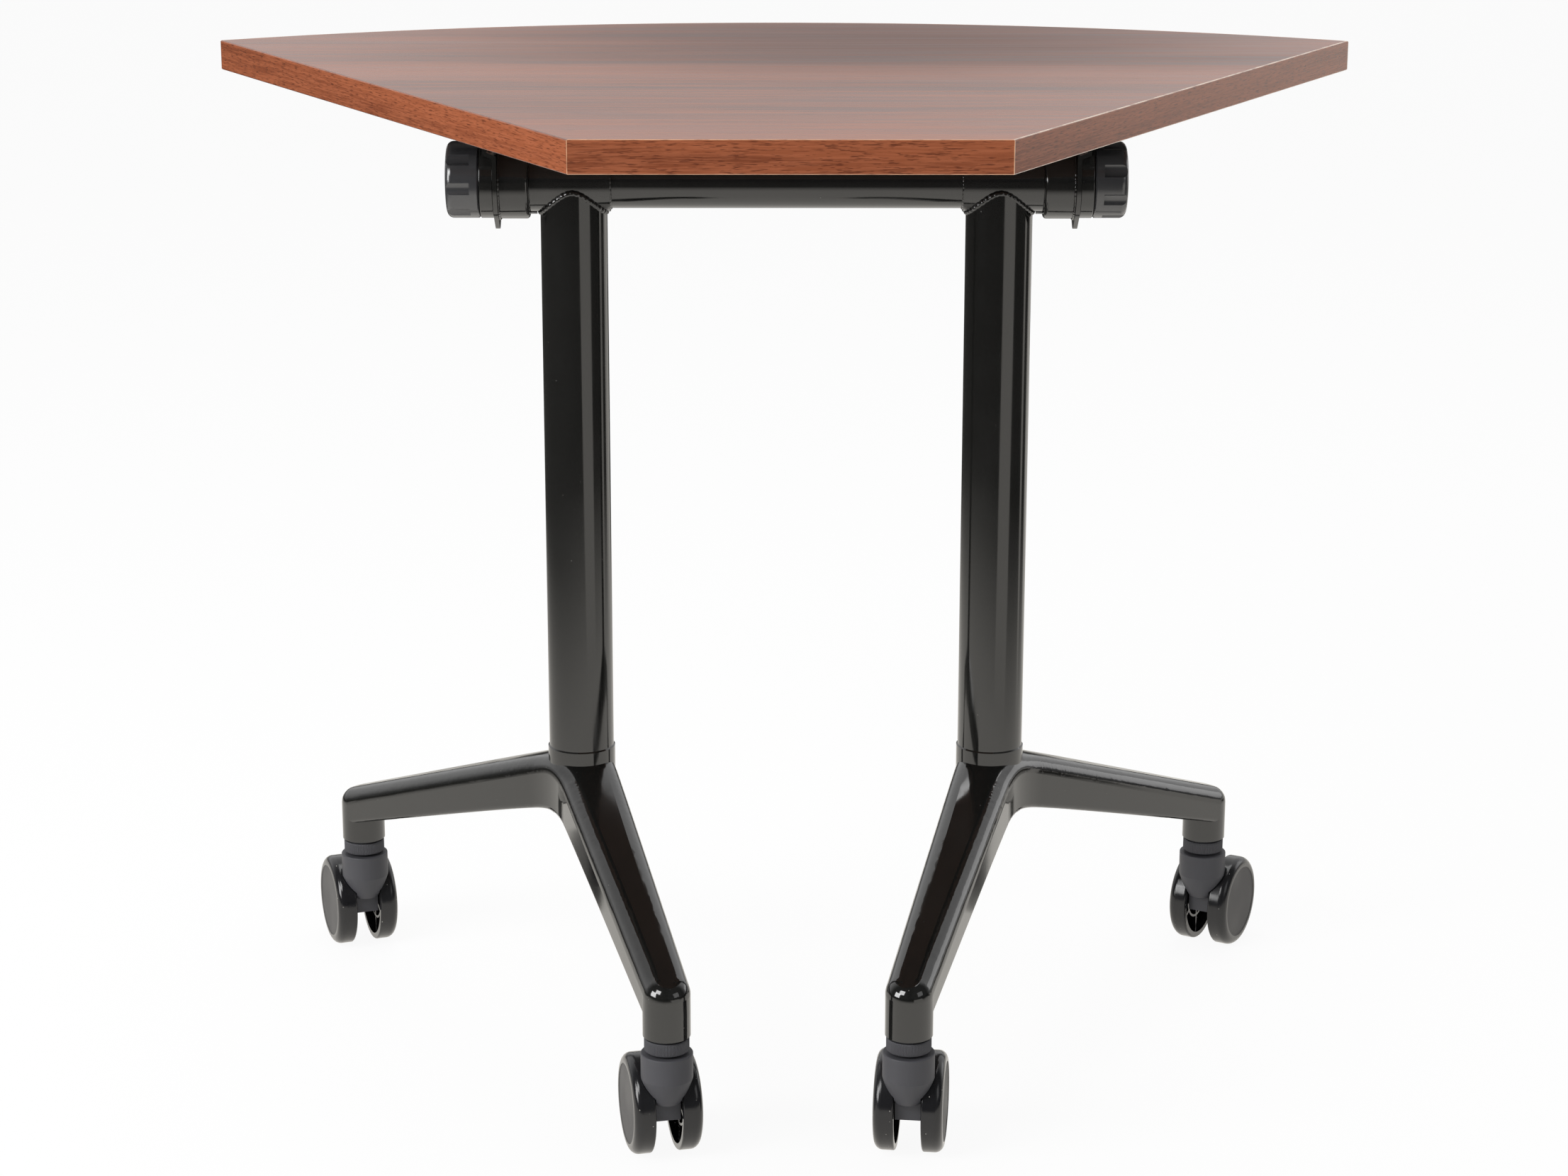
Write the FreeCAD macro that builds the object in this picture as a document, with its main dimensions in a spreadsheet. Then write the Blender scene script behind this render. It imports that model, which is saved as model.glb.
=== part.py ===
import FreeCAD, Part
import math
import os
import re

import Sketcher
from FreeCAD import Placement, Rotation, Vector

# Folding corner desk on casters, in millimetres.
# X runs to the right, Y from the short inner edge to the curved outer edge, Z up from the floor.
# The origin is on the floor, under the middle of the desk's plan.

DIMENSIONS = [
    ("top_height", 762, "floor to the working surface"),
    ("top_thickness", 23, "whole worktop"),
    ("side_length", 600, "straight side edge"),
    ("inner_chord", 292, "short straight inner edge"),
    ("corner_angle", 60, "angle between the two side edges"),
    ("laminate", 0.8, "laminate sheet on either face of the board"),
    ("band", 2, "edge band"),
    ("glue_line", 0.05, "between edge band and board"),
    ("arris", 0.7, "bevel along the edge bands"),
    ("column_spacing", 318, "between the two column axes"),
    ("column_setback", 332, "inner edge to the column axes"),
    ("column_diameter", 50, "column tube, outside"),
    ("column_wall", 2, "column tube wall"),
    ("saddle_radius", 27, "curve of the column's upper end, which meets the collar at its sides"),
    ("axis_drop", 57, "underside of the worktop to the tilt axis"),
    ("tilt_range", 90, "travel of the worktop from level to folded"),
    ("beam_diameter", 42.4, "cross beam tube, outside"),
    ("beam_wall", 3, "cross beam tube wall"),
    ("head_diameter", 47.4, "collar welded to the column head"),
    ("head_outboard", 31.6, "column axis to the collar's outer end"),
    ("head_inboard", 27.7, "column axis to the collar's inner end"),
    ("fit_gap", 0.05, "radial gap of joined pieces"),
    ("run_gap", 0.06, "radial gap of pieces that turn on each other"),
    ("face_gap", 0.1, "gap between end faces that rub"),
    ("sleeve_gap", 0.7, "collar to hinge sleeve"),
    ("sleeve_length", 22.9, "hinge sleeve"),
    ("sleeve_diameter", 58, "hinge sleeve, outside"),
    ("sleeve_round", 2.5, "rounded inner rim of the hinge sleeve"),
    ("bush_wall", 1.4, "plastic bush inside the hinge sleeve"),
    ("pin_diameter", 2.6, "stop pin"),
    ("pin_reach", 5, "stop pin, out of the sleeve"),
    ("pin_seat", 6, "stop pin, inside the sleeve"),
    ("pin_offset", 1, "stop pin axis outside the collar's surface"),
    ("stop_gap", 0.5, "stop pin to the ends and floor of its groove"),
    ("stop_width", 6, "stop groove along the collar"),
    ("bracket_thickness", 3.2, "bracket sheet"),
    ("eye_width", 64, "bracket plate from front to rear"),
    ("lobe_radius", 9, "rounded tip under the bracket's eye"),
    ("lobe_drop", 28, "tilt axis to the centre of the tip"),
    ("jog", 7.2, "outward step in the bracket's neck"),
    ("jog_height", 22, "tilt axis to the step"),
    ("jog_angle", 22.6, "slope of the step"),
    ("ring_relief", 1, "bracket's round relief about the thrust ring"),
    ("flange_width", 46, "bracket flange across"),
    ("flange_length", 160, "bracket flange from front to rear"),
    ("flange_round", 8, "corners of the flange"),
    ("screw_margin", 13, "screw centres to the flange's long edges"),
    ("screw_end_margin", 16, "screw centres to the flange's ends"),
    ("screw_diameter", 5, "bracket screw shank"),
    ("screw_head_diameter", 10, "bracket screw head"),
    ("screw_head_height", 2.8, "bracket screw head"),
    ("screw_bite", 14, "bracket screw inside the worktop"),
    ("screw_gap", 0.1, "radial gap round a screw or bolt shank"),
    ("ring_diameter", 57, "thrust ring, outside"),
    ("ring_length", 10.3, "thrust ring"),
    ("ring_round", 0.8, "rims of the thrust ring"),
    ("beam_recess", 0.8, "beam end inside the thrust ring"),
    ("knob_gap", 0.5, "thrust ring to knob"),
    ("knob_diameter", 57, "clamp knob"),
    ("knob_length", 24.6, "clamp knob"),
    ("knob_round", 5, "outer rim of the knob"),
    ("knob_bevel", 1, "inner rim of the knob"),
    ("knob_dish_diameter", 34, "shallow dish in the knob's end"),
    ("knob_dish", 1, "depth of the dish"),
    ("flute_count", 8, "finger pockets round the knob"),
    ("flute_length", 18, "finger pocket along the knob"),
    ("flute_radius", 7, "hollow of the finger pocket"),
    ("flute_depth", 2.2, "finger pocket"),
    ("knob_heading_left", 5.5, "left knob at rest: finger pocket below straight ahead"),
    ("knob_heading_right", 23, "right knob at rest: finger pocket below straight ahead"),
    ("spindle_diameter", 10, "threaded spindle of the knob"),
    ("spindle_grip", 16, "spindle inside the knob"),
    ("nut_length", 20, "threaded plug in the beam's end"),
    ("spindle_bite", 18, "spindle inside the plug"),
    ("hub_diameter", 52, "hub of the foot"),
    ("hub_bevel", 1, "rim of the hub"),
    ("hub_top", 240, "floor to the hub's rim"),
    ("arm_length", 259, "column axis to caster stem"),
    ("front_arm_angle", 16, "front arm, turned inwards from straight ahead"),
    ("rear_arm_angle", 48, "rear arm, turned outwards from straight back"),
    ("arm_root_width", 49, "arm at the hub"),
    ("boss_diameter", 35, "round boss at the arm's end"),
    ("arm_root_top", 229, "floor to the arm's upper face at the hub"),
    ("arm_end_top", 146, "floor to the arm's upper face at the stem"),
    ("arm_root_bottom", 187.5, "floor to the arm's lower face at the hub"),
    ("arm_end_bottom", 115.5, "floor to the arm's lower face at the stem"),
    ("arm_round", 13, "rounded upper edges of the arms"),
    ("arm_low_round", 4, "rounded lower edges of the arms"),
    ("crotch_round", 110, "blend between the two arms"),
    ("boss_bottom", 100.5, "floor to the boss's rim"),
    ("spigot_length", 35, "hub spigot inside the column"),
    ("spigot_bevel", 2, "lead-in of the spigot"),
    ("plug_length", 20, "threaded plug in the column's foot"),
    ("bolt_diameter", 10, "bolt up through the hub"),
    ("bolt_bite", 17, "bolt inside the column's plug"),
    ("bolt_head_diameter", 16, "bolt head"),
    ("bolt_head_height", 9, "bolt head"),
    ("bolt_sink", 11, "recess for the bolt head"),
    ("bolt_head_gap", 0.5, "radial gap round the bolt head"),
    ("stem_diameter", 12, "caster stem in the boss"),
    ("stem_length", 28, "caster stem inside the boss"),
    ("stem_neck_diameter", 28, "neck between boss and collar"),
    ("stem_neck_height", 2, "neck between boss and collar"),
    ("stem_collar_diameter", 33, "knurled collar of the stem"),
    ("stem_collar_height", 9.5, "knurled collar of the stem"),
    ("swivel_gap", 2, "collar to caster housing"),
    ("swivel_diameter", 11, "swivel pin in the caster housing"),
    ("swivel_length", 24, "swivel pin inside the housing"),
    ("swivel_end", 1, "gap under the swivel pin"),
    ("housing_diameter", 38.2, "round head of the caster housing"),
    ("housing_round", 1, "rim of the caster housing"),
    ("housing_straight", 19.5, "straight side of the housing's head"),
    ("housing_head", 39, "height of the housing's head"),
    ("housing_foot_diameter", 20.2, "lower end of the housing's head"),
    ("housing_bulge", 77, "curve of the head's lower part"),
    ("tongue_width", 18.7, "housing between the wheels"),
    ("tongue_shoulder", 0.3, "step from tongue to head on either side"),
    ("tongue_front", 3, "swivel axis to the tongue's front face"),
    ("tongue_bottom", 34, "floor to the tongue's front corner"),
    ("axle_boss", 9.5, "tongue round the axle"),
    ("trail", 26, "swivel axis to wheel axle"),
    ("wheel_diameter", 75, "caster wheel"),
    ("wheel_width", 15.5, "caster wheel"),
    ("wheel_spacing", 20, "between the two wheels of a caster"),
    ("wheel_clearance", 1.5, "housing head to wheel tread"),
    ("wheel_shoulder", 6.5, "rounded outer shoulder of the wheel"),
    ("wheel_inner_round", 1.5, "rounded inner edge of the wheel"),
    ("wheel_rim", 5, "thickness of the wheel's rim"),
    ("wheel_web", 2.3, "disc of the wheel"),
    ("wheel_hub_diameter", 17, "hub of the wheel"),
    ("wheel_hub_gap", 0.3, "tongue to wheel hub"),
    ("rib_ring_diameter", 40, "ring rib inside the wheel"),
    ("rib_thickness", 1.8, "ribs inside the wheel"),
    ("rib_count", 6, "radial ribs inside the wheel"),
    ("rib_sink", 4, "ribs below the wheel's inner rim"),
    ("cap_diameter", 59, "cover disc of the wheel"),
    ("cap_thickness", 0.9, "cover disc of the wheel"),
    ("cap_lip", 0.4, "raised lip round the cover disc"),
    ("cap_recess", 1.5, "recess for the cover disc"),
    ("axle_diameter", 8, "wheel axle"),
    ("axle_end", 2, "axle end short of the wheel's outer face"),
    ("swivel_front_left", 13, "caster at rest, turned about its stem"),
    ("swivel_front_right", -7.5, "caster at rest, turned about its stem"),
    ("swivel_rear_left", 20, "caster at rest, turned about its stem"),
    ("swivel_rear_right", -29, "caster at rest, turned about its stem"),
]

doc = FreeCAD.newDocument("FoldingCornerDesk")
sheet = doc.addObject("Spreadsheet::Sheet", "Dims")
for row, (alias, value, meaning) in enumerate(DIMENSIONS, start=1):
    sheet.set(f"A{row}", meaning)
    sheet.set(f"B{row}", str(value))
    sheet.setAlias(f"B{row}", alias)
doc.recompute()

ALIASES = {alias for alias, _, _ in DIMENSIONS}
SIDES = {"left": -1, "right": 1}
NODES = []


def formula(text):
    """Turns a formula over the named sizes into an expression of the document."""
    return re.sub(
        r"[a-z_][a-z0-9_]*",
        lambda word: f"Dims.{word[0]}" if word[0] in ALIASES else word[0],
        str(text),
    )


def num(text):
    """The present value of a formula."""
    return float(sheet.evalExpression(formula(text)))


def bind(obj, **formulas):
    """Ties properties of an object to formulas; a double underscore in a name stands for a dot."""
    for name, text in formulas.items():
        obj.setExpression(name.replace("__", "."), formula(text))


def put(obj, x, y, z, rotation=Rotation()):
    """Turns an object and ties its place to three formulas."""
    obj.Placement = Placement(Vector(num(x), num(y), num(z)), rotation)
    bind(obj, Placement__Base__x=x, Placement__Base__y=y, Placement__Base__z=z)
    return obj


def node(obj, label):
    """Names a finished sub-part."""
    obj.Label = label
    NODES.append(obj)
    return obj


# Places that several pieces share, as formulas

APEX_FRONT = "(inner_chord / 2 / tan(corner_angle / 2))"
OUTER_RADIUS = "(inner_chord / 2 / sin(corner_angle / 2) + side_length)"
APEX_Y = f"(-({APEX_FRONT} + {OUTER_RADIUS}) / 2)"
COLUMN_X = "(column_spacing / 2)"
COLUMN_Y = f"({APEX_Y} + {APEX_FRONT} + column_setback)"
UNDERSIDE = "(top_height - top_thickness)"
AXIS_Z = f"({UNDERSIDE} - axis_drop)"

# Stations along the tilt axis, outwards from a column's axis

SLEEVE_START = "(head_outboard + sleeve_gap)"
PLATE_START = f"({SLEEVE_START} + sleeve_length)"
PLATE_END = f"({PLATE_START} + bracket_thickness)"
RING_START = f"({PLATE_END} + face_gap)"
RING_END = f"({RING_START} + ring_length)"
BEAM_END = f"({RING_END} - beam_recess)"
KNOB_START = f"({RING_END} + knob_gap)"
NECK_START = f"({PLATE_START} + jog)"

BUSH_RADIUS = "(beam_diameter / 2 + run_gap + bush_wall)"
PIN_ORBIT = "(head_diameter / 2 + pin_offset)"
FLANGE_BOTTOM = "(axis_drop - bracket_thickness)"

# Heights and places in the casters, from the floor and from the swivel axis

COLLAR_TOP = "(boss_bottom - stem_neck_height)"
COLLAR_BOTTOM = f"({COLLAR_TOP} - stem_collar_height)"
HOUSING_TOP = f"({COLLAR_BOTTOM} - swivel_gap)"
AXLE_Z = "(wheel_diameter / 2)"


# Sketches and the solids that are made from them


def new_sketch(body, plane, offset="0"):
    """A sketch on one of the body's own origin planes, moved along the plane's normal."""
    sketch = body.newObject("Sketcher::SketchObject", "Sketch")
    support = next(f for f in body.Origin.OriginFeatures if f.Role == plane)
    sketch.AttachmentSupport = [(support, "")]
    sketch.MapMode = "FlatFace"
    bind(sketch, AttachmentOffset__Base__z=offset)
    return sketch


def arc_between(start, end, radius):
    """The short arc from start to end, turning left for a positive radius and right for a negative one."""
    chord = end.sub(start)
    left = Vector(-chord.y, chord.x, 0).normalize()
    rise = math.sqrt(max(radius**2 - chord.Length**2 / 4, 0))
    middle = start.add(end).multiply(0.5)
    sense = math.copysign(1, radius)
    crown = middle.sub(left.multiply(sense * (abs(radius) - rise)))
    return Part.Arc(start, crown, end) if sense > 0 else Part.Arc(end, crown, start)


def draw(sketch, outline):
    """Adds a closed outline with every corner tied to the sheet.

    A corner is (x, y), or (x, y, radius) where the edge that leaves it is an arc.
    """
    spots = [Vector(num(corner[0]), num(corner[1]), 0) for corner in outline]
    edges = []
    for index, corner in enumerate(outline):
        start, end = spots[index], spots[(index + 1) % len(spots)]
        if len(corner) == 2:
            edges.append((sketch.addGeometry(Part.LineSegment(start, end)), 1, 2))
            continue
        radius = num(corner[2])
        curve = sketch.addGeometry(arc_between(start, end, radius))
        edges.append((curve, 1, 2) if radius > 0 else (curve, 2, 1))
        size = sketch.addConstraint(Sketcher.Constraint("Radius", curve, abs(radius)))
        sketch.setExpression(f"Constraints[{size}]", formula(f"abs({corner[2]})"))
    for index, corner in enumerate(outline):
        edge, start, _ = edges[index]
        before, _, end = edges[index - 1]
        sketch.addConstraint(Sketcher.Constraint("Coincident", before, end, edge, start))
        for kind, text in (("DistanceX", corner[0]), ("DistanceY", corner[1])):
            tie = Sketcher.Constraint(kind, -1, 1, edge, start, num(text))
            place = sketch.addConstraint(tie)
            sketch.setExpression(f"Constraints[{place}]", formula(text))


def draw_circle(sketch, x, y, radius):
    """Adds a circle with its centre and radius tied to the sheet."""
    curve = sketch.addGeometry(Part.Circle(Vector(num(x), num(y), 0), Vector(0, 0, 1), num(radius)))
    ties = (
        (Sketcher.Constraint("DistanceX", -1, 1, curve, 3, num(x)), x),
        (Sketcher.Constraint("DistanceY", -1, 1, curve, 3, num(y)), y),
        (Sketcher.Constraint("Radius", curve, num(radius)), radius),
    )
    for tie, text in ties:
        place = sketch.addConstraint(tie)
        sketch.setExpression(f"Constraints[{place}]", formula(text))


def new_body(label):
    """An empty body for one sub-part."""
    return node(doc.addObject("PartDesign::Body", label), label)


def pad(body, sketch, length, midplane=False):
    """Extrudes a sketch along its normal, or to both sides of its plane."""
    feature = body.newObject("PartDesign::Pad", "Pad")
    feature.Profile = sketch
    feature.Midplane = midplane
    bind(feature, Length=length)
    doc.recompute()
    return feature


def pocket(body, sketch, depth=None, along_normal=False):
    """Cuts a sketch to a depth, or right through to both sides when no depth is given."""
    before = body.Shape.Volume
    feature = body.newObject("PartDesign::Pocket", "Pocket")
    feature.Profile = sketch
    if depth is None:
        feature.Type = "ThroughAll"
        feature.Midplane = True
    else:
        feature.Reversed = along_normal
        bind(feature, Length=depth)
    doc.recompute()
    if not body.Shape.Volume < before:
        raise RuntimeError(f"a pocket of {body.Label} cuts nothing")
    return feature


def around(body, feature, count):
    """Repeats a feature evenly about the body's Z axis."""
    pattern = body.newObject("PartDesign::PolarPattern", "PolarPattern")
    pattern.Originals = [feature]
    axis = next(f for f in body.Origin.OriginFeatures if f.Role == "Z_Axis")
    pattern.Axis = (axis, [""])
    pattern.Angle = 360
    bind(pattern, Occurrences=count)
    body.Tip = pattern
    doc.recompute()
    return pattern


def turned(label, profile):
    """A body turned about its Z axis from a profile of (radius, height) corners."""
    body = new_body(label)
    sketch = new_sketch(body, "XZ_Plane")
    draw(sketch, profile)
    feature = body.newObject("PartDesign::Revolution", "Revolution")
    feature.Profile = sketch
    feature.ReferenceAxis = (sketch, ["V_Axis"])
    feature.Angle = 360
    doc.recompute()
    return body


def rod(radius, length):
    """A plain cylinder along Z."""
    cylinder = doc.addObject("Part::Cylinder", "Cylinder")
    bind(cylinder, Radius=radius, Height=length)
    return cylinder


def cut(base, tool):
    """One solid less another."""
    result = doc.addObject("Part::Cut", "Cut")
    result.Base = base
    result.Tool = tool
    return result


def fused(first, second):
    """Two solids as one."""
    result = doc.addObject("Part::Fuse", "Fuse")
    result.Base = first
    result.Tool = second
    return result


def group(label, members):
    """Identical loose pieces that share one node."""
    compound = doc.addObject("Part::Compound", label)
    compound.Links = members
    return node(compound, label)


def outward(side):
    """Turns a piece that was made along Z so that it points away from the desk's middle, along X."""
    return Rotation(Vector(0, 1, 0), 90 * side)


def on_axis(obj, side, start="0"):
    """Puts a piece on the tilt axis, start millimetres outwards from the column's axis."""
    return put(obj, f"{side} * ({COLUMN_X} + {start})", COLUMN_Y, AXIS_Z, outward(side))


def tube_on_axis(outer, inner, start, end, side):
    """A tube on the tilt axis between two stations."""
    length = f"({end} - {start})"
    return cut(on_axis(rod(outer, length), side, start), on_axis(rod(inner, length), side, start))


# Worktop


def plan_corners(inset):
    """Front and rear right corners of the worktop's outline, moved in by inset, and its rear radius."""
    front_y = f"({APEX_FRONT} + {inset})"
    front_x = f"({front_y} * tan(corner_angle / 2) - {inset} / cos(corner_angle / 2))"
    radius = f"({OUTER_RADIUS} - {inset})"
    reach = f"sqrt({radius}^2 - ({inset})^2)"
    rear_x = f"({reach} * sin(corner_angle / 2) - {inset} * cos(corner_angle / 2))"
    rear_y = f"({reach} * cos(corner_angle / 2) + {inset} * sin(corner_angle / 2))"
    return (front_x, f"({front_y} + {APEX_Y})"), (rear_x, f"({rear_y} + {APEX_Y})"), radius


def mirrored(point):
    """The same point on the other side of the desk's middle."""
    return (f"-({point[0]})", point[1])


def screw_places():
    """Centres of the bracket screws."""
    across = (f"({NECK_START} + screw_margin)", f"({NECK_START} + flange_width - screw_margin)")
    along = "(flange_length / 2 - screw_end_margin)"
    return [
        (f"{side} * ({COLUMN_X} + {out})", f"({COLUMN_Y} + {end} * {along})")
        for side in SIDES.values()
        for out in across
        for end in (-1, 1)
    ]


def sheet_of_top(label, bottom, thickness):
    """A board or laminate sheet with the worktop's outline, inside the edge bands."""
    front, rear, radius = plan_corners("(band + glue_line)")
    body = new_body(label)
    sketch = new_sketch(body, "XY_Plane", bottom)
    draw(sketch, [mirrored(front), front, (*rear, radius), mirrored(rear)])
    pad(body, sketch, thickness)
    return body


def screw_holes(body, bottom, depth):
    """Holes for the bracket screws, upwards from the given height."""
    sketch = new_sketch(body, "XY_Plane", bottom)
    for x, y in screw_places():
        draw_circle(sketch, x, y, "(screw_diameter / 2 + screw_gap)")
    pocket(body, sketch, depth, along_normal=True)


def edge_band(label, outline):
    """One edge band, mitred at its ends, with a bevel along its two outer edges."""
    body = new_body(label)
    sketch = new_sketch(body, "XY_Plane", UNDERSIDE)
    draw(sketch, outline)
    base = pad(body, sketch, "top_thickness")
    chosen = []
    for level in (num(UNDERSIDE), num("top_height")):
        flat = [
            (edge.Length, f"Edge{index}")
            for index, edge in enumerate(base.Shape.Edges, start=1)
            if abs(edge.BoundBox.ZMin - level) < 1e-6 and abs(edge.BoundBox.ZMax - level) < 1e-6
        ]
        chosen.append(max(flat)[1])
    bevel = body.newObject("PartDesign::Chamfer", "Arris")
    bevel.Base = (base, chosen)
    bind(bevel, Size="arris")
    doc.recompute()


def build_worktop():
    """Board, laminates and edge bands."""
    board_bottom = f"({UNDERSIDE} + laminate)"
    backing = sheet_of_top("backing_laminate", UNDERSIDE, "laminate")
    screw_holes(backing, UNDERSIDE, "laminate")
    board = sheet_of_top("core_board", board_bottom, "(top_thickness - 2 * laminate)")
    screw_holes(board, board_bottom, "(screw_bite + screw_gap - laminate)")
    sheet_of_top("top_laminate", "(top_height - laminate)", "laminate")
    front, rear, radius = plan_corners("0")
    front_in, rear_in, radius_in = plan_corners("band")
    right = [front, rear, rear_in, front_in]
    edge_band("edge_band_front", [mirrored(front), front, front_in, mirrored(front_in)])
    edge_band("edge_band_right", right)
    edge_band("edge_band_left", [mirrored(corner) for corner in right])
    rear_arc = [(*rear, radius), mirrored(rear), (*mirrored(rear_in), f"-{radius_in}"), rear_in]
    edge_band("edge_band_rear", rear_arc)


# Tilting hinges


def build_bracket(name, side):
    """Bent sheet bracket: an eye on the tilt axis, a stepped neck and a flange under the worktop."""
    body = new_body(f"bracket_{name}")
    put(body, f"{side} * {COLUMN_X}", COLUMN_Y, AXIS_Z)
    low = "(-(lobe_drop + lobe_radius))"
    rise = "(jog * tan(jog_angle))"
    bend = "(bracket_thickness * tan((90 - jog_angle) / 2))"
    neck_end = f"({NECK_START} + bracket_thickness)"
    section = [
        (PLATE_START, low),
        (PLATE_START, "jog_height"),
        (NECK_START, f"(jog_height + {rise})"),
        (NECK_START, "axis_drop"),
        (neck_end, "axis_drop"),
        (neck_end, f"(jog_height + {rise} - {bend})"),
        (PLATE_END, f"(jog_height - {bend})"),
        (PLATE_END, low),
    ]
    sketch = new_sketch(body, "XZ_Plane")
    draw(sketch, [(f"{side} * {x}", z) for x, z in section])
    pad(body, sketch, "eye_width", midplane=True)

    flange = new_sketch(body, "XY_Plane", FLANGE_BOTTOM)
    inner, outer = NECK_START, f"({NECK_START} + flange_width)"
    half = "(flange_length / 2)"
    corners = [
        (inner, f"(-{half} + flange_round)", "flange_round"),
        (f"({inner} + flange_round)", f"-{half}"),
        (f"({outer} - flange_round)", f"-{half}", "flange_round"),
        (outer, f"(-{half} + flange_round)"),
        (outer, f"({half} - flange_round)", "flange_round"),
        (f"({outer} - flange_round)", half),
        (f"({inner} + flange_round)", half, "flange_round"),
        (inner, f"({half} - flange_round)"),
    ]
    draw(flange, [(f"{side} * {c[0]}", c[1], *[f"{side} * {r}" for r in c[2:]]) for c in corners])
    for x, y in screw_places():
        if side * num(x) > 0:
            at = f"({x} - {side} * {COLUMN_X})"
            draw_circle(flange, at, f"({y} - {COLUMN_Y})", "(screw_diameter / 2 + screw_gap)")
    pad(body, flange, "bracket_thickness")

    eye = "(eye_width / 2)"
    lean = f"(({eye} - lobe_radius) / lobe_drop)"
    normal_x = f"sqrt(1 - {lean}^2)"
    shoulder = (f"({eye} * {normal_x})", f"(-{eye} * {lean})")
    tip = (f"(lobe_radius * {normal_x})", f"(-lobe_drop - lobe_radius * {lean})")
    waste = f"({eye} + lobe_radius)"
    below = f"({low} - lobe_radius)"
    trim = [
        (f"-{eye}", "0", eye),
        mirrored(shoulder),
        (*mirrored(tip), "lobe_radius"),
        tip,
        (*shoulder, eye),
        (eye, "0"),
        (waste, "0"),
        (waste, below),
        (f"-{waste}", below),
        (f"-{waste}", "0"),
    ]
    sketch = new_sketch(body, "YZ_Plane")
    draw(sketch, trim)
    pocket(body, sketch)
    sketch = new_sketch(body, "YZ_Plane", f"{side} * {PLATE_END}")
    draw_circle(sketch, "0", "0", "(ring_diameter / 2 + ring_relief)")
    pocket(body, sketch, "(2 * jog)", along_normal=side > 0)
    sketch = new_sketch(body, "YZ_Plane")
    draw_circle(sketch, "0", "0", f"({BUSH_RADIUS} + fit_gap)")
    pocket(body, sketch)


def build_sleeve(name, side):
    """Hinge sleeve welded to the bracket, with the hole for its stop pin."""
    bore = f"({BUSH_RADIUS} + fit_gap)"
    rim = "(sleeve_diameter / 2)"
    profile = [
        (bore, SLEEVE_START),
        (f"({rim} - sleeve_round)", SLEEVE_START, "sleeve_round"),
        (rim, f"({SLEEVE_START} + sleeve_round)"),
        (rim, PLATE_START),
        (bore, PLATE_START),
    ]
    body = turned(f"hinge_sleeve_{name}", profile)
    hole = new_sketch(body, "XY_Plane", SLEEVE_START)
    draw_circle(hole, f"{side} * {PIN_ORBIT}", "0", "(pin_diameter / 2 + fit_gap)")
    pocket(body, hole, "pin_seat", along_normal=True)
    on_axis(body, side)


def build_hinge_fittings():
    """Bushes, stop pins and bracket screws."""
    bushes = []
    pins = []
    for side in SIDES.values():
        inner = "(beam_diameter / 2 + run_gap)"
        bushes.append(tube_on_axis(BUSH_RADIUS, inner, SLEEVE_START, PLATE_END, side))
        pin = rod("(pin_diameter / 2)", "(pin_reach + pin_seat)")
        start = f"({SLEEVE_START} - pin_reach)"
        place = f"({AXIS_Z} - {PIN_ORBIT})"
        pins.append(put(pin, f"{side} * ({COLUMN_X} + {start})", COLUMN_Y, place, outward(side)))
    group("hinge_bushes", bushes)
    group("stop_pins", pins)
    screws = []
    under = f"({AXIS_Z} + {FLANGE_BOTTOM})"
    for x, y in screw_places():
        head = rod("(screw_head_diameter / 2)", "screw_head_height")
        shank = rod("(screw_diameter / 2)", "(bracket_thickness + screw_bite)")
        screws.append(
            fused(put(head, x, y, f"({under} - screw_head_height)"), put(shank, x, y, under))
        )
    group("bracket_screws", screws)


# Fixed frame


def build_beam():
    """Cross beam through both column heads, and the threaded plugs in its ends."""
    half = f"({COLUMN_X} + {BEAM_END})"
    outside = rod("(beam_diameter / 2)", f"(2 * {half})")
    inside = rod("(beam_diameter / 2 - beam_wall)", f"(2 * {half})")
    for obj in (outside, inside):
        put(obj, f"-{half}", COLUMN_Y, AXIS_Z, outward(1))
    node(cut(outside, inside), "cross_beam")
    plugs = [
        tube_on_axis(
            "(beam_diameter / 2 - beam_wall - fit_gap)",
            "(spindle_diameter / 2 + run_gap)",
            f"({BEAM_END} - nut_length)",
            BEAM_END,
            side,
        )
        for side in SIDES.values()
    ]
    group("beam_nuts", plugs)


def build_head(name, side):
    """Collar on the beam, with the groove whose ends stop the worktop's tilt."""
    collar = tube_on_axis(
        "(head_diameter / 2)",
        "(beam_diameter / 2 + fit_gap)",
        "(-head_inboard)",
        "head_outboard",
        side,
    )
    slack = f"(2 * asin((pin_diameter / 2 + stop_gap) / 2 / {PIN_ORBIT}) / 1 deg)"
    sweep = f"(tilt_range + 2 * {slack})"
    start = f"(-{slack})" if side > 0 else f"(180 - tilt_range - {slack})"
    sector = rod("head_diameter", "(2 * stop_width)")
    bind(sector, Angle=sweep)
    floor = rod(f"({PIN_ORBIT} - pin_diameter / 2 - stop_gap)", "(2 * stop_width)")
    groove = cut(sector, floor)
    turn = outward(side).multiply(Rotation(Vector(0, 0, 1), num(start)))
    out = "(head_outboard - stop_width)"
    put(groove, f"{side} * ({COLUMN_X} + {out})", COLUMN_Y, AXIS_Z, turn)
    node(cut(collar, groove), f"head_{name}")


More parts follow.
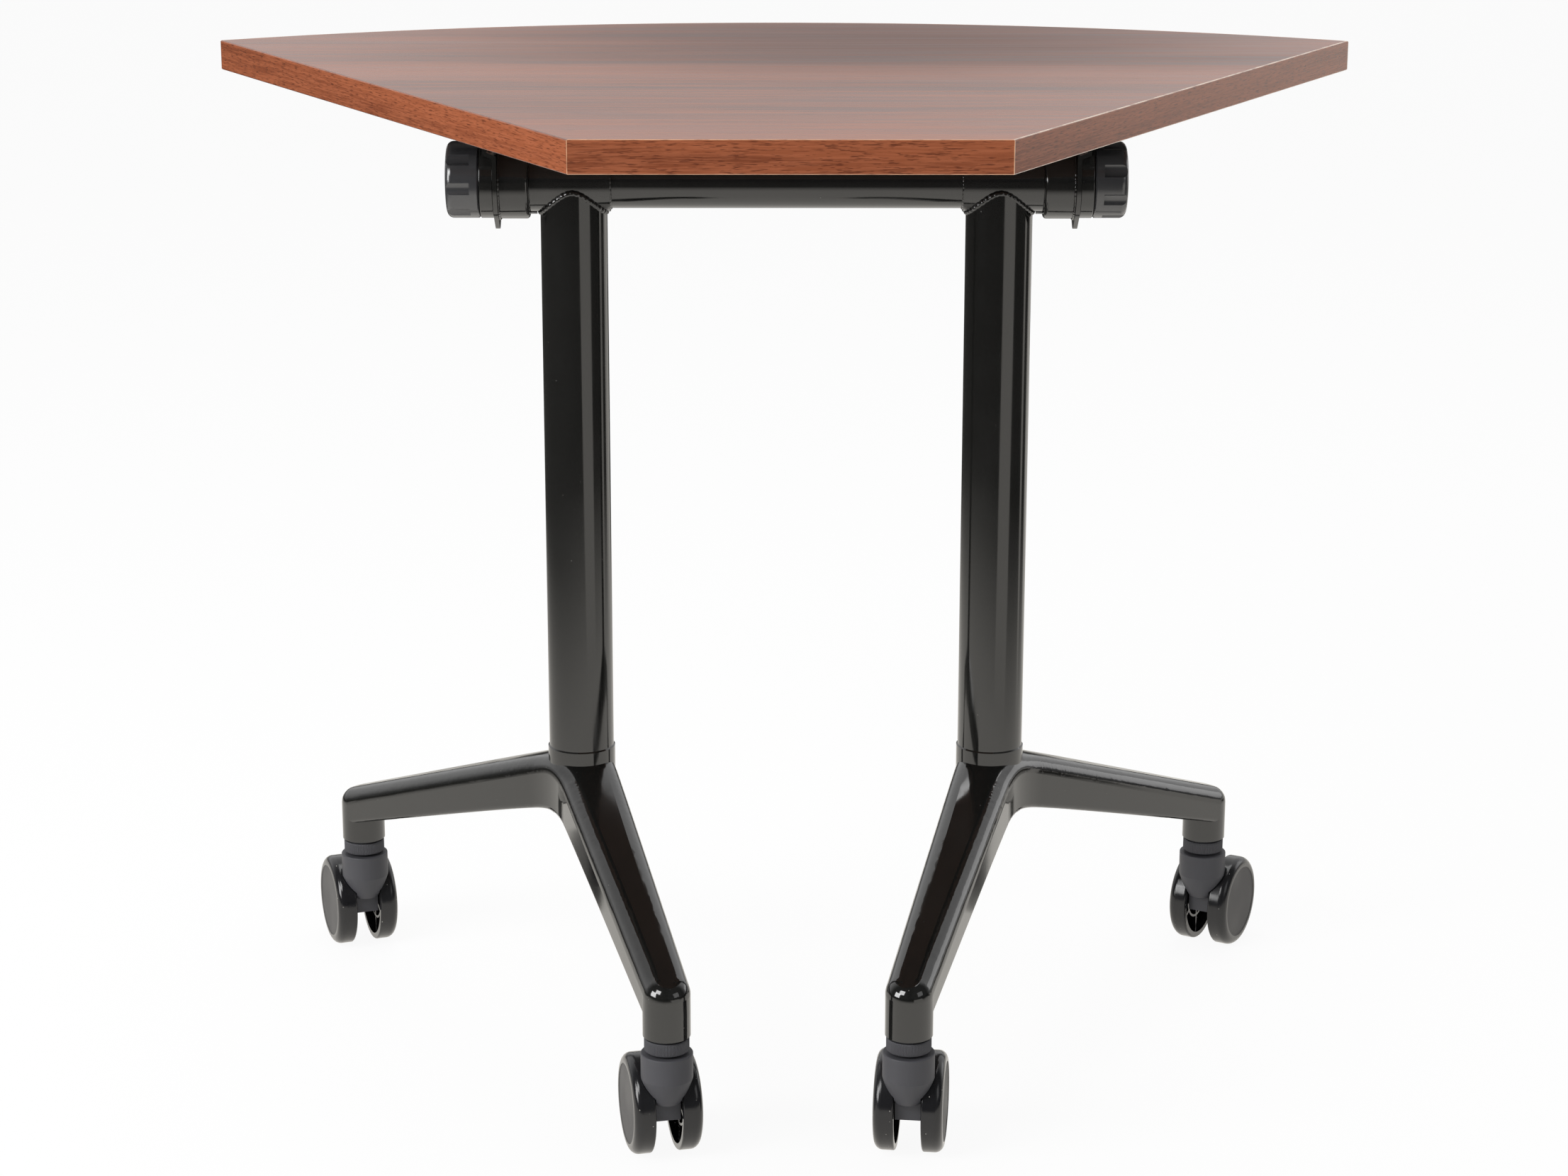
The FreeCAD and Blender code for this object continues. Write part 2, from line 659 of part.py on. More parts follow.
def build_column(name, side):
    """Column tube, cut at its top to sit under the collar, with room for the weld in front and behind."""
    place = (f"{side} * {COLUMN_X}", COLUMN_Y)
    length = f"({AXIS_Z} - hub_top)"
    outside = put(rod("(column_diameter / 2)", length), *place, "hub_top")
    inside = put(rod("(column_diameter / 2 - column_wall)", length), *place, "hub_top")
    saddle = put(
        rod("saddle_radius", "(2 * column_diameter)"),
        f"{side} * ({COLUMN_X} - column_diameter)",
        COLUMN_Y,
        f"({AXIS_Z} + saddle_radius - head_diameter / 2 - fit_gap)",
        outward(side),
    )
    node(cut(cut(outside, inside), saddle), f"column_{name}")


def build_column_fixings():
    """Threaded plugs in the columns' feet and the bolts that reach up into them."""
    plugs = []
    bolts = []
    plug_bottom = "(hub_top + spigot_length + face_gap)"
    seat = "(arm_root_bottom + bolt_sink)"
    for side in SIDES.values():
        place = (f"{side} * {COLUMN_X}", COLUMN_Y)
        outside = rod("(column_diameter / 2 - column_wall - fit_gap)", "plug_length")
        inside = rod("(bolt_diameter / 2 + fit_gap)", "plug_length")
        plugs.append(cut(put(outside, *place, plug_bottom), put(inside, *place, plug_bottom)))
        shank = rod("(bolt_diameter / 2)", f"({plug_bottom} + bolt_bite - {seat})")
        head = rod("(bolt_head_diameter / 2)", "bolt_head_height")
        bolts.append(
            fused(put(shank, *place, seat), put(head, *place, f"({seat} - bolt_head_height)"))
        )
    group("column_plugs", plugs)
    group("foot_bolts", bolts)


def arm_directions(side):
    """Unit vectors in plan from a hub to its front and rear casters."""
    front = math.radians(num("front_arm_angle"))
    rear = math.radians(num("rear_arm_angle"))
    return (
        Vector(-side * math.sin(front), -math.cos(front), 0),
        Vector(side * math.sin(rear), math.cos(rear), 0),
    )


def foot_outline(hub, side):
    """Plan of the foot: two tapered arms, a round end on each and a wide blend in the crotch."""
    root, tip = num("arm_root_width / 2"), num("boss_diameter / 2")
    reach = num("arm_length")
    lean = (root - tip) / reach
    front, rear = arm_directions(side)
    crotch = front.add(rear).normalize()
    arms = []
    for along in (front, rear):
        across = crotch.sub(along * crotch.dot(along)).normalize()
        near = along * lean + across * math.sqrt(1 - lean**2)
        far = along * lean - across * math.sqrt(1 - lean**2)
        arms.append((along, near, far, hub + along * reach))
    (along_f, near_f, far_f, end_f), (along_r, near_r, far_r, end_r) = arms

    # The two flanks that face the crotch meet on its middle line, where both lie root from the hub.
    corner = hub + crotch * (root / near_f.dot(crotch))
    flank_f = (end_f + near_f * tip - corner).normalize()
    flank_r = (end_r + near_r * tip - corner).normalize()
    half = flank_f.getAngle(flank_r) / 2
    blend = num("crotch_round")
    run = blend / math.tan(half)
    crown = corner + crotch * (blend / math.sin(half) - blend)
    edges = [
        Part.LineSegment(corner + flank_f * run, end_f + near_f * tip),
        Part.Arc(end_f + near_f * tip, end_f + along_f * tip, end_f + far_f * tip),
        Part.LineSegment(end_f + far_f * tip, hub + far_f * root),
        Part.Arc(hub + far_f * root, hub - crotch * root, hub + far_r * root),
        Part.LineSegment(hub + far_r * root, end_r + far_r * tip),
        Part.Arc(end_r + far_r * tip, end_r + along_r * tip, end_r + near_r * tip),
        Part.LineSegment(end_r + near_r * tip, corner + flank_r * run),
        Part.Arc(corner + flank_r * run, crown, corner + flank_f * run),
    ]
    return Part.Face(Part.Wire([edge.toShape() for edge in edges]))


def build_foot(name, side):
    """Cast foot: hub, spigot, two sloping arms and the bosses that take the casters."""
    hub = Vector(side * num(COLUMN_X), num(COLUMN_Y), 0)
    reach, hub_radius = num("arm_length"), num("hub_diameter / 2")
    boss_radius = num("boss_diameter / 2")
    far = reach + 2 * boss_radius

    def slope(root, end):
        """Heights at the hub's axis and beyond the stem of a face that runs straight along the arm."""
        fall = (num(root) - num(end)) / (reach - hub_radius)
        return num(root) + fall * hub_radius, num(root) - fall * (far - hub_radius)

    top_in, top_out = slope("arm_root_top", "arm_end_top")
    low_in, low_out = slope("arm_root_bottom", "arm_end_bottom")
    section = [
        Vector(0, 0, low_in),
        Vector(far, 0, low_out),
        Vector(far, 0, top_out),
        Vector(0, 0, top_in),
        Vector(0, 0, low_in),
    ]
    band = Part.Face(Part.makePolygon(section)).revolve(Vector(0, 0, 0), Vector(0, 0, 1), 360)
    band.translate(hub)
    arms = foot_outline(hub, side).extrude(Vector(0, 0, top_in)).common(band)

    def rim(shape, inner, outer):
        """Edges of the arms' upper or lower face, which falls from inner at the hub's axis to outer."""

        def on_face(vertex):
            out = math.hypot(vertex.X - hub.x, vertex.Y - hub.y) / far
            return abs(inner + (outer - inner) * out - vertex.Z) < 0.01

        return [edge for edge in shape.Edges if all(on_face(vertex) for vertex in edge.Vertexes)]

    arms = arms.makeFillet(num("arm_round"), rim(arms, top_in, top_out))
    arms = arms.makeFillet(num("arm_low_round"), rim(arms, low_in, low_out))

    bottom, crest = num("arm_root_bottom"), num("hub_top")
    hub_bevel = num("hub_bevel")
    spigot_radius = num("column_diameter / 2 - column_wall - fit_gap")
    bevel = num("spigot_bevel")
    straight = num("spigot_length") - bevel
    up = Vector(0, 0, 1)
    solids = [
        Part.makeCylinder(hub_radius, crest - hub_bevel - bottom, hub + up * bottom),
        Part.makeCone(hub_radius, hub_radius - hub_bevel, hub_bevel, hub + up * (crest - hub_bevel)),
        Part.makeCylinder(spigot_radius, straight, hub + up * crest),
        Part.makeCone(spigot_radius, spigot_radius - bevel, bevel, hub + up * (crest + straight)),
    ]
    holes = [
        Part.makeCylinder(num("bolt_diameter / 2 + screw_gap"), crest, hub + up * bottom),
        Part.makeCylinder(
            num("bolt_head_diameter / 2 + bolt_head_gap"), num("bolt_sink"), hub + up * bottom
        ),
    ]
    boss = num("boss_bottom")
    for along in arm_directions(side):
        stem = hub + along * reach + up * boss
        rise = num("arm_end_bottom + 2 * arm_low_round") - boss
        solids.append(Part.makeCylinder(boss_radius, rise, stem))
        depth = num("stem_length + face_gap")
        holes.append(Part.makeCylinder(num("stem_diameter / 2 + fit_gap"), depth, stem))
    shape = arms.multiFuse(solids).removeSplitter()
    for hole in holes:
        shape = shape.cut(hole)
    foot = doc.addObject("Part::Feature", f"foot_{name}")
    foot.Shape = shape.Solids[0] if len(shape.Solids) == 1 else shape
    node(foot, f"foot_{name}")


# Clamps at the beam's ends


def build_clamp(name, side):
    """Thrust ring, fluted knob and the knob's threaded spindle."""
    bore, rim = "(beam_diameter / 2 + run_gap)", "(ring_diameter / 2)"
    ring = [
        (bore, RING_START),
        (f"({rim} - ring_round)", RING_START, "ring_round"),
        (rim, f"({RING_START} + ring_round)"),
        (rim, f"({RING_END} - ring_round)", "ring_round"),
        (f"({rim} - ring_round)", RING_END),
        (bore, RING_END),
    ]
    on_axis(turned(f"thrust_ring_{name}", ring), side)

    grip, end = "(knob_diameter / 2)", f"({KNOB_START} + knob_length)"
    hole = "(spindle_diameter / 2 + fit_gap)"
    floor = f"({KNOB_START} + spindle_grip + face_gap)"
    dish = "(knob_dish_diameter / 2)"
    profile = [
        (hole, KNOB_START),
        (f"({grip} - knob_bevel)", KNOB_START),
        (grip, f"({KNOB_START} + knob_bevel)"),
        (grip, f"({end} - knob_round)", "knob_round"),
        (f"({grip} - knob_round)", end),
        (dish, end),
        (f"({dish} - knob_dish)", f"({end} - knob_dish)"),
        ("0", f"({end} - knob_dish)"),
        ("0", floor),
        (hole, floor),
    ]
    knob = turned(f"knob_{name}", profile)
    reach = f"({grip} - flute_depth + flute_radius)"
    heading = f"({side} * knob_heading_{name})"
    sketch = new_sketch(knob, "XY_Plane", end)
    draw_circle(
        sketch, f"({reach} * cos({heading}))", f"({reach} * sin({heading}))", "flute_radius"
    )
    around(knob, pocket(knob, sketch, "flute_length"), "flute_count")
    on_axis(knob, side)

    inner = f"({BEAM_END} - spindle_bite)"
    spindle = rod("(spindle_diameter / 2)", f"({KNOB_START} + spindle_grip - {inner})")
    node(on_axis(spindle, side, inner), f"knob_spindle_{name}")


# Casters


def build_stem(place):
    """Stem with its knurled collar and the pin that the caster swivels on."""
    profile = [
        ("0", f"({HOUSING_TOP} - swivel_length)"),
        ("(swivel_diameter / 2)", f"({HOUSING_TOP} - swivel_length)"),
        ("(swivel_diameter / 2)", COLLAR_BOTTOM),
        ("(stem_collar_diameter / 2)", COLLAR_BOTTOM),
        ("(stem_collar_diameter / 2)", COLLAR_TOP),
        ("(stem_neck_diameter / 2)", COLLAR_TOP),
        ("(stem_neck_diameter / 2)", "boss_bottom"),
        ("(stem_diameter / 2)", "boss_bottom"),
        ("(stem_diameter / 2)", "(boss_bottom + stem_length)"),
        ("0", "(boss_bottom + stem_length)"),
    ]
    return turned(f"caster_stem_{place}", profile)


def build_housing(place):
    """Caster housing: a round head cut away for the wheels, and a tongue between them."""
    head = "(housing_diameter / 2)"
    knee = f"({HOUSING_TOP} - housing_straight)"
    foot = f"({HOUSING_TOP} - housing_head)"
    profile = [
        ("0", foot),
        ("(housing_foot_diameter / 2)", foot, "housing_bulge"),
        (head, knee),
        (head, f"({HOUSING_TOP} - housing_round)", "housing_round"),
        (f"({head} - housing_round)", HOUSING_TOP),
        ("0", HOUSING_TOP),
    ]
    body = turned(f"caster_housing_{place}", profile)
    sketch = new_sketch(body, "YZ_Plane")
    back = "(trail + axle_boss)"
    tongue = [
        ("-tongue_front", "tongue_bottom"),
        ("trail", f"({AXLE_Z} - axle_boss)", "axle_boss"),
        (back, AXLE_Z),
        (head, knee),
        ("-tongue_front", knee),
    ]
    draw(sketch, tongue)
    pad(body, sketch, "tongue_width", midplane=True)
    for side in SIDES.values():
        sketch = new_sketch(body, "YZ_Plane", f"{side} * (tongue_width / 2 + tongue_shoulder)")
        draw_circle(sketch, "trail", AXLE_Z, "(wheel_diameter / 2 + wheel_clearance)")
        pocket(body, sketch, "housing_diameter", along_normal=side > 0)
    sketch = new_sketch(body, "XY_Plane", HOUSING_TOP)
    draw_circle(sketch, "0", "0", "(swivel_diameter / 2 + run_gap)")
    pocket(body, sketch, "(swivel_length + swivel_end)")
    sketch = new_sketch(body, "YZ_Plane")
    draw_circle(sketch, "trail", AXLE_Z, "(axle_diameter / 2 + fit_gap)")
    pocket(body, sketch)
    return body


def build_wheel(label):
    """One wheel, measured from its inner rim outwards along its axle, hollow and ribbed inside."""
    tread, bore = "(wheel_diameter / 2)", "(axle_diameter / 2 + run_gap)"
    hollow = f"({tread} - wheel_rim)"
    hub = "(wheel_hub_diameter / 2)"
    hub_start = "(tongue_width / 2 + wheel_hub_gap - wheel_spacing / 2)"
    seat = "(wheel_width - cap_recess)"
    web = f"({seat} - wheel_web)"
    ring_out = "(rib_ring_diameter / 2)"
    ring_in = f"({ring_out} - rib_thickness)"
    pan = "(cap_diameter / 2 + face_gap)"
    profile = [
        (bore, hub_start),
        (hub, hub_start),
        (hub, web),
        (ring_in, web),
        (ring_in, "rib_sink"),
        (ring_out, "rib_sink"),
        (ring_out, web),
        (hollow, web),
        (hollow, "0"),
        (f"({tread} - wheel_inner_round)", "0", "wheel_inner_round"),
        (tread, "wheel_inner_round"),
        (tread, "(wheel_width - wheel_shoulder)", "wheel_shoulder"),
        (f"({tread} - wheel_shoulder)", "wheel_width"),
        (pan, "wheel_width"),
        (pan, seat),
        (bore, seat),
    ]
    body = turned(label, profile)
    sketch = new_sketch(body, "XY_Plane", "rib_sink")
    half = "(rib_thickness / 2)"
    root = f"({hub} - {half})"
    end = f"({hollow} + {half})"
    draw(sketch, [(root, f"-{half}"), (end, f"-{half}"), (end, half), (root, half)])
    rib = pad(body, sketch, f"({web} - rib_sink + {half})")
    around(body, rib, "rib_count")
    return body


def build_cap(label):
    """Cover disc with a low lip, measured like its wheel."""
    seat = "(wheel_width - cap_recess + face_gap)"
    rim = "(cap_diameter / 2)"
    face = f"({seat} + cap_thickness)"
    lip = f"({face} + cap_lip)"
    profile = [
        ("0", seat),
        (rim, seat),
        (rim, lip),
        (f"({rim} - cap_lip)", lip),
        (f"({rim} - 2 * cap_lip)", face),
        ("0", face),
    ]
    return turned(label, profile)


def build_caster(place, stem_x, stem_y):
    """All pieces of one caster, turned about its stem as it stands."""
    swivel = Rotation(Vector(0, 0, 1), num(f"swivel_{place}"))
    put(build_stem(place), stem_x, stem_y, "0")
    put(build_housing(place), stem_x, stem_y, "0", swivel)
    behind = (
        f"({stem_x} - trail * sin(swivel_{place}))",
        f"({stem_y} + trail * cos(swivel_{place}))",
    )
    half = "(wheel_spacing / 2 + wheel_width - axle_end)"
    axle = rod("(axle_diameter / 2)", f"(2 * {half})")
    start = (
        f"({behind[0]} - {half} * cos(swivel_{place}))",
        f"({behind[1]} - {half} * sin(swivel_{place}))",
    )
    node(put(axle, *start, AXLE_Z, swivel.multiply(outward(1))), f"caster_axle_{place}")
    for letter, hand in (("a", -1), ("b", 1)):
        rim = f"({hand} * wheel_spacing / 2)"
        at = (
            f"({behind[0]} + {rim} * cos(swivel_{place}))",
            f"({behind[1]} + {rim} * sin(swivel_{place}))",
            AXLE_Z,
        )
        turn = swivel.multiply(outward(hand))
        put(build_wheel(f"wheel_{place}_{letter}"), *at, turn)
        put(build_cap(f"wheel_cap_{place}_{letter}"), *at, turn)


def build_casters():
    """A caster under the end of each arm."""
    for name, side in SIDES.items():
        arms = (
            ("front", "-sin(front_arm_angle)", "-cos(front_arm_angle)"),
            ("rear", "sin(rear_arm_angle)", "cos(rear_arm_angle)"),
        )
        for end, across, along in arms:
            stem_x = f"({side} * ({COLUMN_X} + arm_length * ({across})))"
            stem_y = f"({COLUMN_Y} + arm_length * ({along}))"
            build_caster(f"{end}_{name}", stem_x, stem_y)


build_worktop()
for name, side in SIDES.items():
    build_bracket(name, side)
    build_sleeve(name, side)
    build_head(name, side)
    build_column(name, side)
    build_foot(name, side)
    build_clamp(name, side)
build_hinge_fittings()
build_beam()
build_column_fixings()
build_casters()
doc.recompute()

for obj in doc.Objects:
    if {"Invalid", "Error"} & set(obj.State):
        raise RuntimeError(f"{obj.Label} failed: {obj.State}")
for obj in NODES:
    if obj.Shape.isNull() or not obj.Shape.isValid():
        raise RuntimeError(f"{obj.Label} has no valid shape")

os.makedirs("parts", exist_ok=True)
for obj in NODES:
    obj.Shape.exportStep(f"parts/{obj.Label}.step")
print(len(NODES), "nodes written")
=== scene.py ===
import logging
import math
from dataclasses import dataclass, field, replace
from enum import Enum
from typing import Any

import bmesh
import bpy
import numpy as np
from mathutils import Matrix, Vector


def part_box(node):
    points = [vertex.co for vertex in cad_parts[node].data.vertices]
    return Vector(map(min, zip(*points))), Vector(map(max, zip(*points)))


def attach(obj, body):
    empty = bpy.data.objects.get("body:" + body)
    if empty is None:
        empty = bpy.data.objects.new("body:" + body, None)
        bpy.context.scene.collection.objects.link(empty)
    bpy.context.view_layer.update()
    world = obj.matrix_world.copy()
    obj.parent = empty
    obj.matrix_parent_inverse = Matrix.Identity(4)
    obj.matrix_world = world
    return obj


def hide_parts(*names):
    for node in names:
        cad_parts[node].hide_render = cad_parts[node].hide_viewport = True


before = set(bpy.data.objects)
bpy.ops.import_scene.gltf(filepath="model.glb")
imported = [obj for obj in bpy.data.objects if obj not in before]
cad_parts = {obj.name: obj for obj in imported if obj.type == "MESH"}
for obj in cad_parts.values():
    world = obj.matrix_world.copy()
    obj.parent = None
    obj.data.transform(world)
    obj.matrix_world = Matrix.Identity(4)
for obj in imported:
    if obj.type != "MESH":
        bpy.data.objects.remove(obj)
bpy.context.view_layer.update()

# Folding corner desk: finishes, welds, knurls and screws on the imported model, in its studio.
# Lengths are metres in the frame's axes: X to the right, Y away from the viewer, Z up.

MM = 0.001
DRIFT_WAVES = 5
MERGE = 1e-6
SMOOTH = 180.0
SPECK_REACH = 0.22
WHITE = (1.0, 1.0, 1.0, 1.0)
log = logging.getLogger("desk")

Colour = tuple[float, float, float]
Point = tuple[float, float, float]


class Side(Enum):
    """The two ends of the cross beam."""

    LEFT = "left"
    RIGHT = "right"

    @property
    def sign(self) -> int:
        """Direction of this end along X."""
        return -1 if self is Side.LEFT else 1


class Place(Enum):
    """The four casters."""

    FRONT_LEFT = "front_left"
    FRONT_RIGHT = "front_right"
    REAR_LEFT = "rear_left"
    REAR_RIGHT = "rear_right"


# Node trees


def linear(colour: Colour) -> tuple[float, float, float, float]:
    """Turns a display colour in 0 to 255 into scene-linear light.

    Args:
        colour: red, green and blue as they look on a screen.

    Returns:
        The same colour for a shader socket, with full alpha.
    """
    part = np.array(colour, float) / 255.0
    light = np.where(part <= 0.04045, part / 12.92, ((part + 0.055) / 1.055) ** 2.4)
    return (float(light[0]), float(light[1]), float(light[2]), 1.0)


class Tree:
    """Adds nodes to a node tree and links them."""

    def __init__(self, tree: bpy.types.NodeTree) -> None:
        """Keeps the tree that nodes are added to."""
        self.tree = tree

    def add(self, kind: str, inputs: dict[Any, Any] | None = None, **settings: Any) -> bpy.types.Node:
        """Adds one node.

        Args:
            kind: Blender's name of the node type.
            inputs: values or sockets by input name or number.
            **settings: properties of the node itself.

        Returns:
            The new node.
        """
        node = self.tree.nodes.new(kind)
        for name, value in settings.items():
            setattr(node, name, value)
        for name, value in (inputs or {}).items():
            if isinstance(value, bpy.types.NodeSocket):
                self.tree.links.new(value, node.inputs[name])
            else:
                node.inputs[name].default_value = value
        return node

    def math(self, operation: str, first: Any, second: Any = 0.0, clamp: bool = False) -> Any:
        """Adds a math node and returns its output socket."""
        node = self.add("ShaderNodeMath", {0: first, 1: second}, operation=operation, use_clamp=clamp)
        return node.outputs[0]

    def ramp(self, value: Any, low: float, high: float, start: float = 0.0, end: float = 1.0) -> Any:
        """Adds a smooth step from one range to another.

        Args:
            value: the value to map.
            low: where the step begins.
            high: where the step ends.
            start: result up to low.
            end: result from high on.

        Returns:
            The result's socket.
        """
        node = self.add(
            "ShaderNodeMapRange",
            {"Value": value, "From Min": low, "From Max": high, "To Min": start, "To Max": end},
            interpolation_type="SMOOTHSTEP",
        )
        return node.outputs["Result"]

    def mix(self, amount: Any, first: Any, second: Any) -> Any:
        """Mixes two colours.

        Args:
            amount: share of the second colour.
            first: colour at 0.
            second: colour at 1.

        Returns:
            The mixed colour's socket.
        """
        node = self.add("ShaderNodeMix", data_type="RGBA")
        for name, value in (("Factor_Float", amount), ("A_Color", first), ("B_Color", second)):
            socket = next(s for s in node.inputs if s.identifier == name)
            if isinstance(value, bpy.types.NodeSocket):
                self.tree.links.new(value, socket)
            else:
                socket.default_value = value
        return next(s for s in node.outputs if s.identifier == "Result_Color")

    def mapped(self, vector: Any, scale: tuple[float, float, float], turn: float = 0.0) -> Any:
        """Turns coordinates about Z and then stretches them.

        Args:
            vector: the coordinates.
            scale: repeats per metre along each axis.
            turn: angle about Z in degrees.

        Returns:
            The socket of the new coordinates.
        """
        turned = self.add(
            "ShaderNodeMapping",
            {"Vector": vector, "Rotation": (0.0, 0.0, math.radians(turn))},
        )
        stretched = self.add("ShaderNodeMapping", {"Vector": turned.outputs[0], "Scale": scale})
        return stretched.outputs[0]

    def noise(self, vector: Any, scale: Any, detail: float = 2.0, rough: float = 0.5) -> Any:
        """Adds fractal noise.

        Args:
            vector: the coordinates.
            scale: size of the pattern, as repeats per metre.
            detail: number of finer layers.
            rough: share of each finer layer.

        Returns:
            The noise value's socket.
        """
        node = self.add(
            "ShaderNodeTexNoise",
            {"Vector": vector, "Scale": scale, "Detail": detail, "Roughness": rough},
        )
        return node.outputs["Fac"]

    def group(self, tree: bpy.types.NodeTree, inputs: dict[str, Any]) -> bpy.types.Node:
        """Places a shared node group.

        Args:
            tree: the group.
            inputs: values or sockets by input name.

        Returns:
            The group's node.
        """
        return self.add("ShaderNodeGroup", inputs, node_tree=tree)


def new_group(name: str, inputs: dict[str, str], outputs: list[str]) -> tuple[Tree, Any, Any]:
    """Starts a shader node group.

    Args:
        name: name of the group.
        inputs: socket kinds by name.
        outputs: names of the value outputs.

    Returns:
        The tree and its input and output nodes.
    """
    tree = bpy.data.node_groups.new(name, "ShaderNodeTree")
    for label, kind in inputs.items():
        tree.interface.new_socket(label, in_out="INPUT", socket_type=kind)
    for label in outputs:
        tree.interface.new_socket(label, in_out="OUTPUT", socket_type="NodeSocketFloat")
    build = Tree(tree)
    return build, build.add("NodeGroupInput"), build.add("NodeGroupOutput")


def specks_group() -> bpy.types.NodeTree:
    """Scattered dust specks: small round dots in some cells of a cellular pattern.

    Returns:
        The shared group, built at its first use.
    """
    found = bpy.data.node_groups.get("dust_specks")
    if found:
        return found
    build, given, made = new_group(
        "dust_specks",
        {"Vector": "NodeSocketVector", "Scale": "NodeSocketFloat", "Share": "NodeSocketFloat"},
        ["Mask"],
    )
    cells = build.add(
        "ShaderNodeTexVoronoi",
        {"Vector": given.outputs["Vector"], "Scale": given.outputs["Scale"]},
    )
    parts = build.add("ShaderNodeSeparateColor", {"Color": cells.outputs["Color"]})
    chosen = build.math("LESS_THAN", parts.outputs[0], given.outputs["Share"])
    reach = build.math("MULTIPLY", parts.outputs[1], SPECK_REACH)
    dot = build.math("LESS_THAN", cells.outputs["Distance"], reach)
    build.tree.links.new(build.math("MULTIPLY", chosen, dot), made.inputs["Mask"])
    return build.tree


def skin_group() -> bpy.types.NodeTree:
    """Height of a sprayed or moulded skin: fine peel on a slower wave.

    Returns:
        The shared group, built at its first use.
    """
    found = bpy.data.node_groups.get("skin_height")
    if found:
        return found
    build, given, made = new_group(
        "skin_height",
        {
            "Vector": "NodeSocketVector",
            "Peel": "NodeSocketFloat",
            "Wave": "NodeSocketFloat",
            "Wave Share": "NodeSocketFloat",
        },
        ["Height", "Mottle"],
    )
    vector = given.outputs["Vector"]
    peel = build.noise(vector, given.outputs["Peel"], 2.0)
    wave = build.noise(vector, given.outputs["Wave"], 1.0)
    share = build.math("MULTIPLY", wave, given.outputs["Wave Share"])
    build.tree.links.new(build.math("ADD", peel, share), made.inputs["Height"])
    build.tree.links.new(wave, made.inputs["Mottle"])
    return build.tree


def grain_group() -> bpy.types.NodeTree:
    """Straight wood grain along X: wide bands, fine streaks and short dark pores.

    Returns:
        The shared group, built at its first use.
    """
    found = bpy.data.node_groups.get("wood_grain")
    if found:
        return found
    build, given, made = new_group(
        "wood_grain",
        {
            "Vector": "NodeSocketVector",
            "Band": "NodeSocketFloat",
            "Streak": "NodeSocketFloat",
            "Pore": "NodeSocketFloat",
        },
        ["Band", "Streak", "Pore"],
    )
    vector = given.outputs["Vector"]
    for name, stretch, detail in (("Band", 0.05, 3.0), ("Streak", 0.035, 2.0), ("Pore", 0.09, 1.0)):
        scaled = build.add(
            "ShaderNodeVectorMath",
            {0: vector, 1: (stretch, 1.0, 1.0)},
            operation="MULTIPLY",
        )
        value = build.noise(scaled.outputs[0], given.outputs[name], detail, 0.6)
        build.tree.links.new(value, made.inputs[name])
    return build.tree


# Finishes


@dataclass(frozen=True)
class Finish:
    """A surface finish that builds its material once."""

    name: str

    def material(self) -> bpy.types.Material:
        """Builds the material at its first use.

        Returns:
            The finish as a material.
        """
        found = bpy.data.materials.get(self.name)
        if found:
            return found
        made = bpy.data.materials.new(self.name)
        made.use_nodes = True
        made.node_tree.nodes.clear()
        build = Tree(made.node_tree)
        shader = build.add("ShaderNodeBsdfPrincipled")
        end = build.add("ShaderNodeOutputMaterial")
        build.tree.links.new(shader.outputs[0], end.inputs["Surface"])
        place = build.add("ShaderNodeTexCoord").outputs["Object"]
        self.dress(build, shader, place)
        return made

    def dress(self, build: Tree, shader: bpy.types.Node, place: Any) -> None:
        """Adds the nodes of this finish in front of its shader.

        Args:
            build: the material's tree.
            shader: the Principled node to feed.
            place: socket of the object's coordinates.
        """
        raise NotImplementedError

    @staticmethod
    def bump(build: Tree, shader: bpy.types.Node, height: Any, distance: float, strength: float) -> None:
        """Feeds a height to the shader's normal through a bump node.

        Args:
            build: the material's tree.
            shader: the Principled node to feed.
            height: socket of the height.
            distance: height of the bumps in metres.
            strength: share of the bumps that shows.
        """
        node = build.add(
            "ShaderNodeBump", {"Height": height, "Distance": distance, "Strength": strength}
        )
        build.tree.links.new(node.outputs["Normal"], shader.inputs["Normal"])


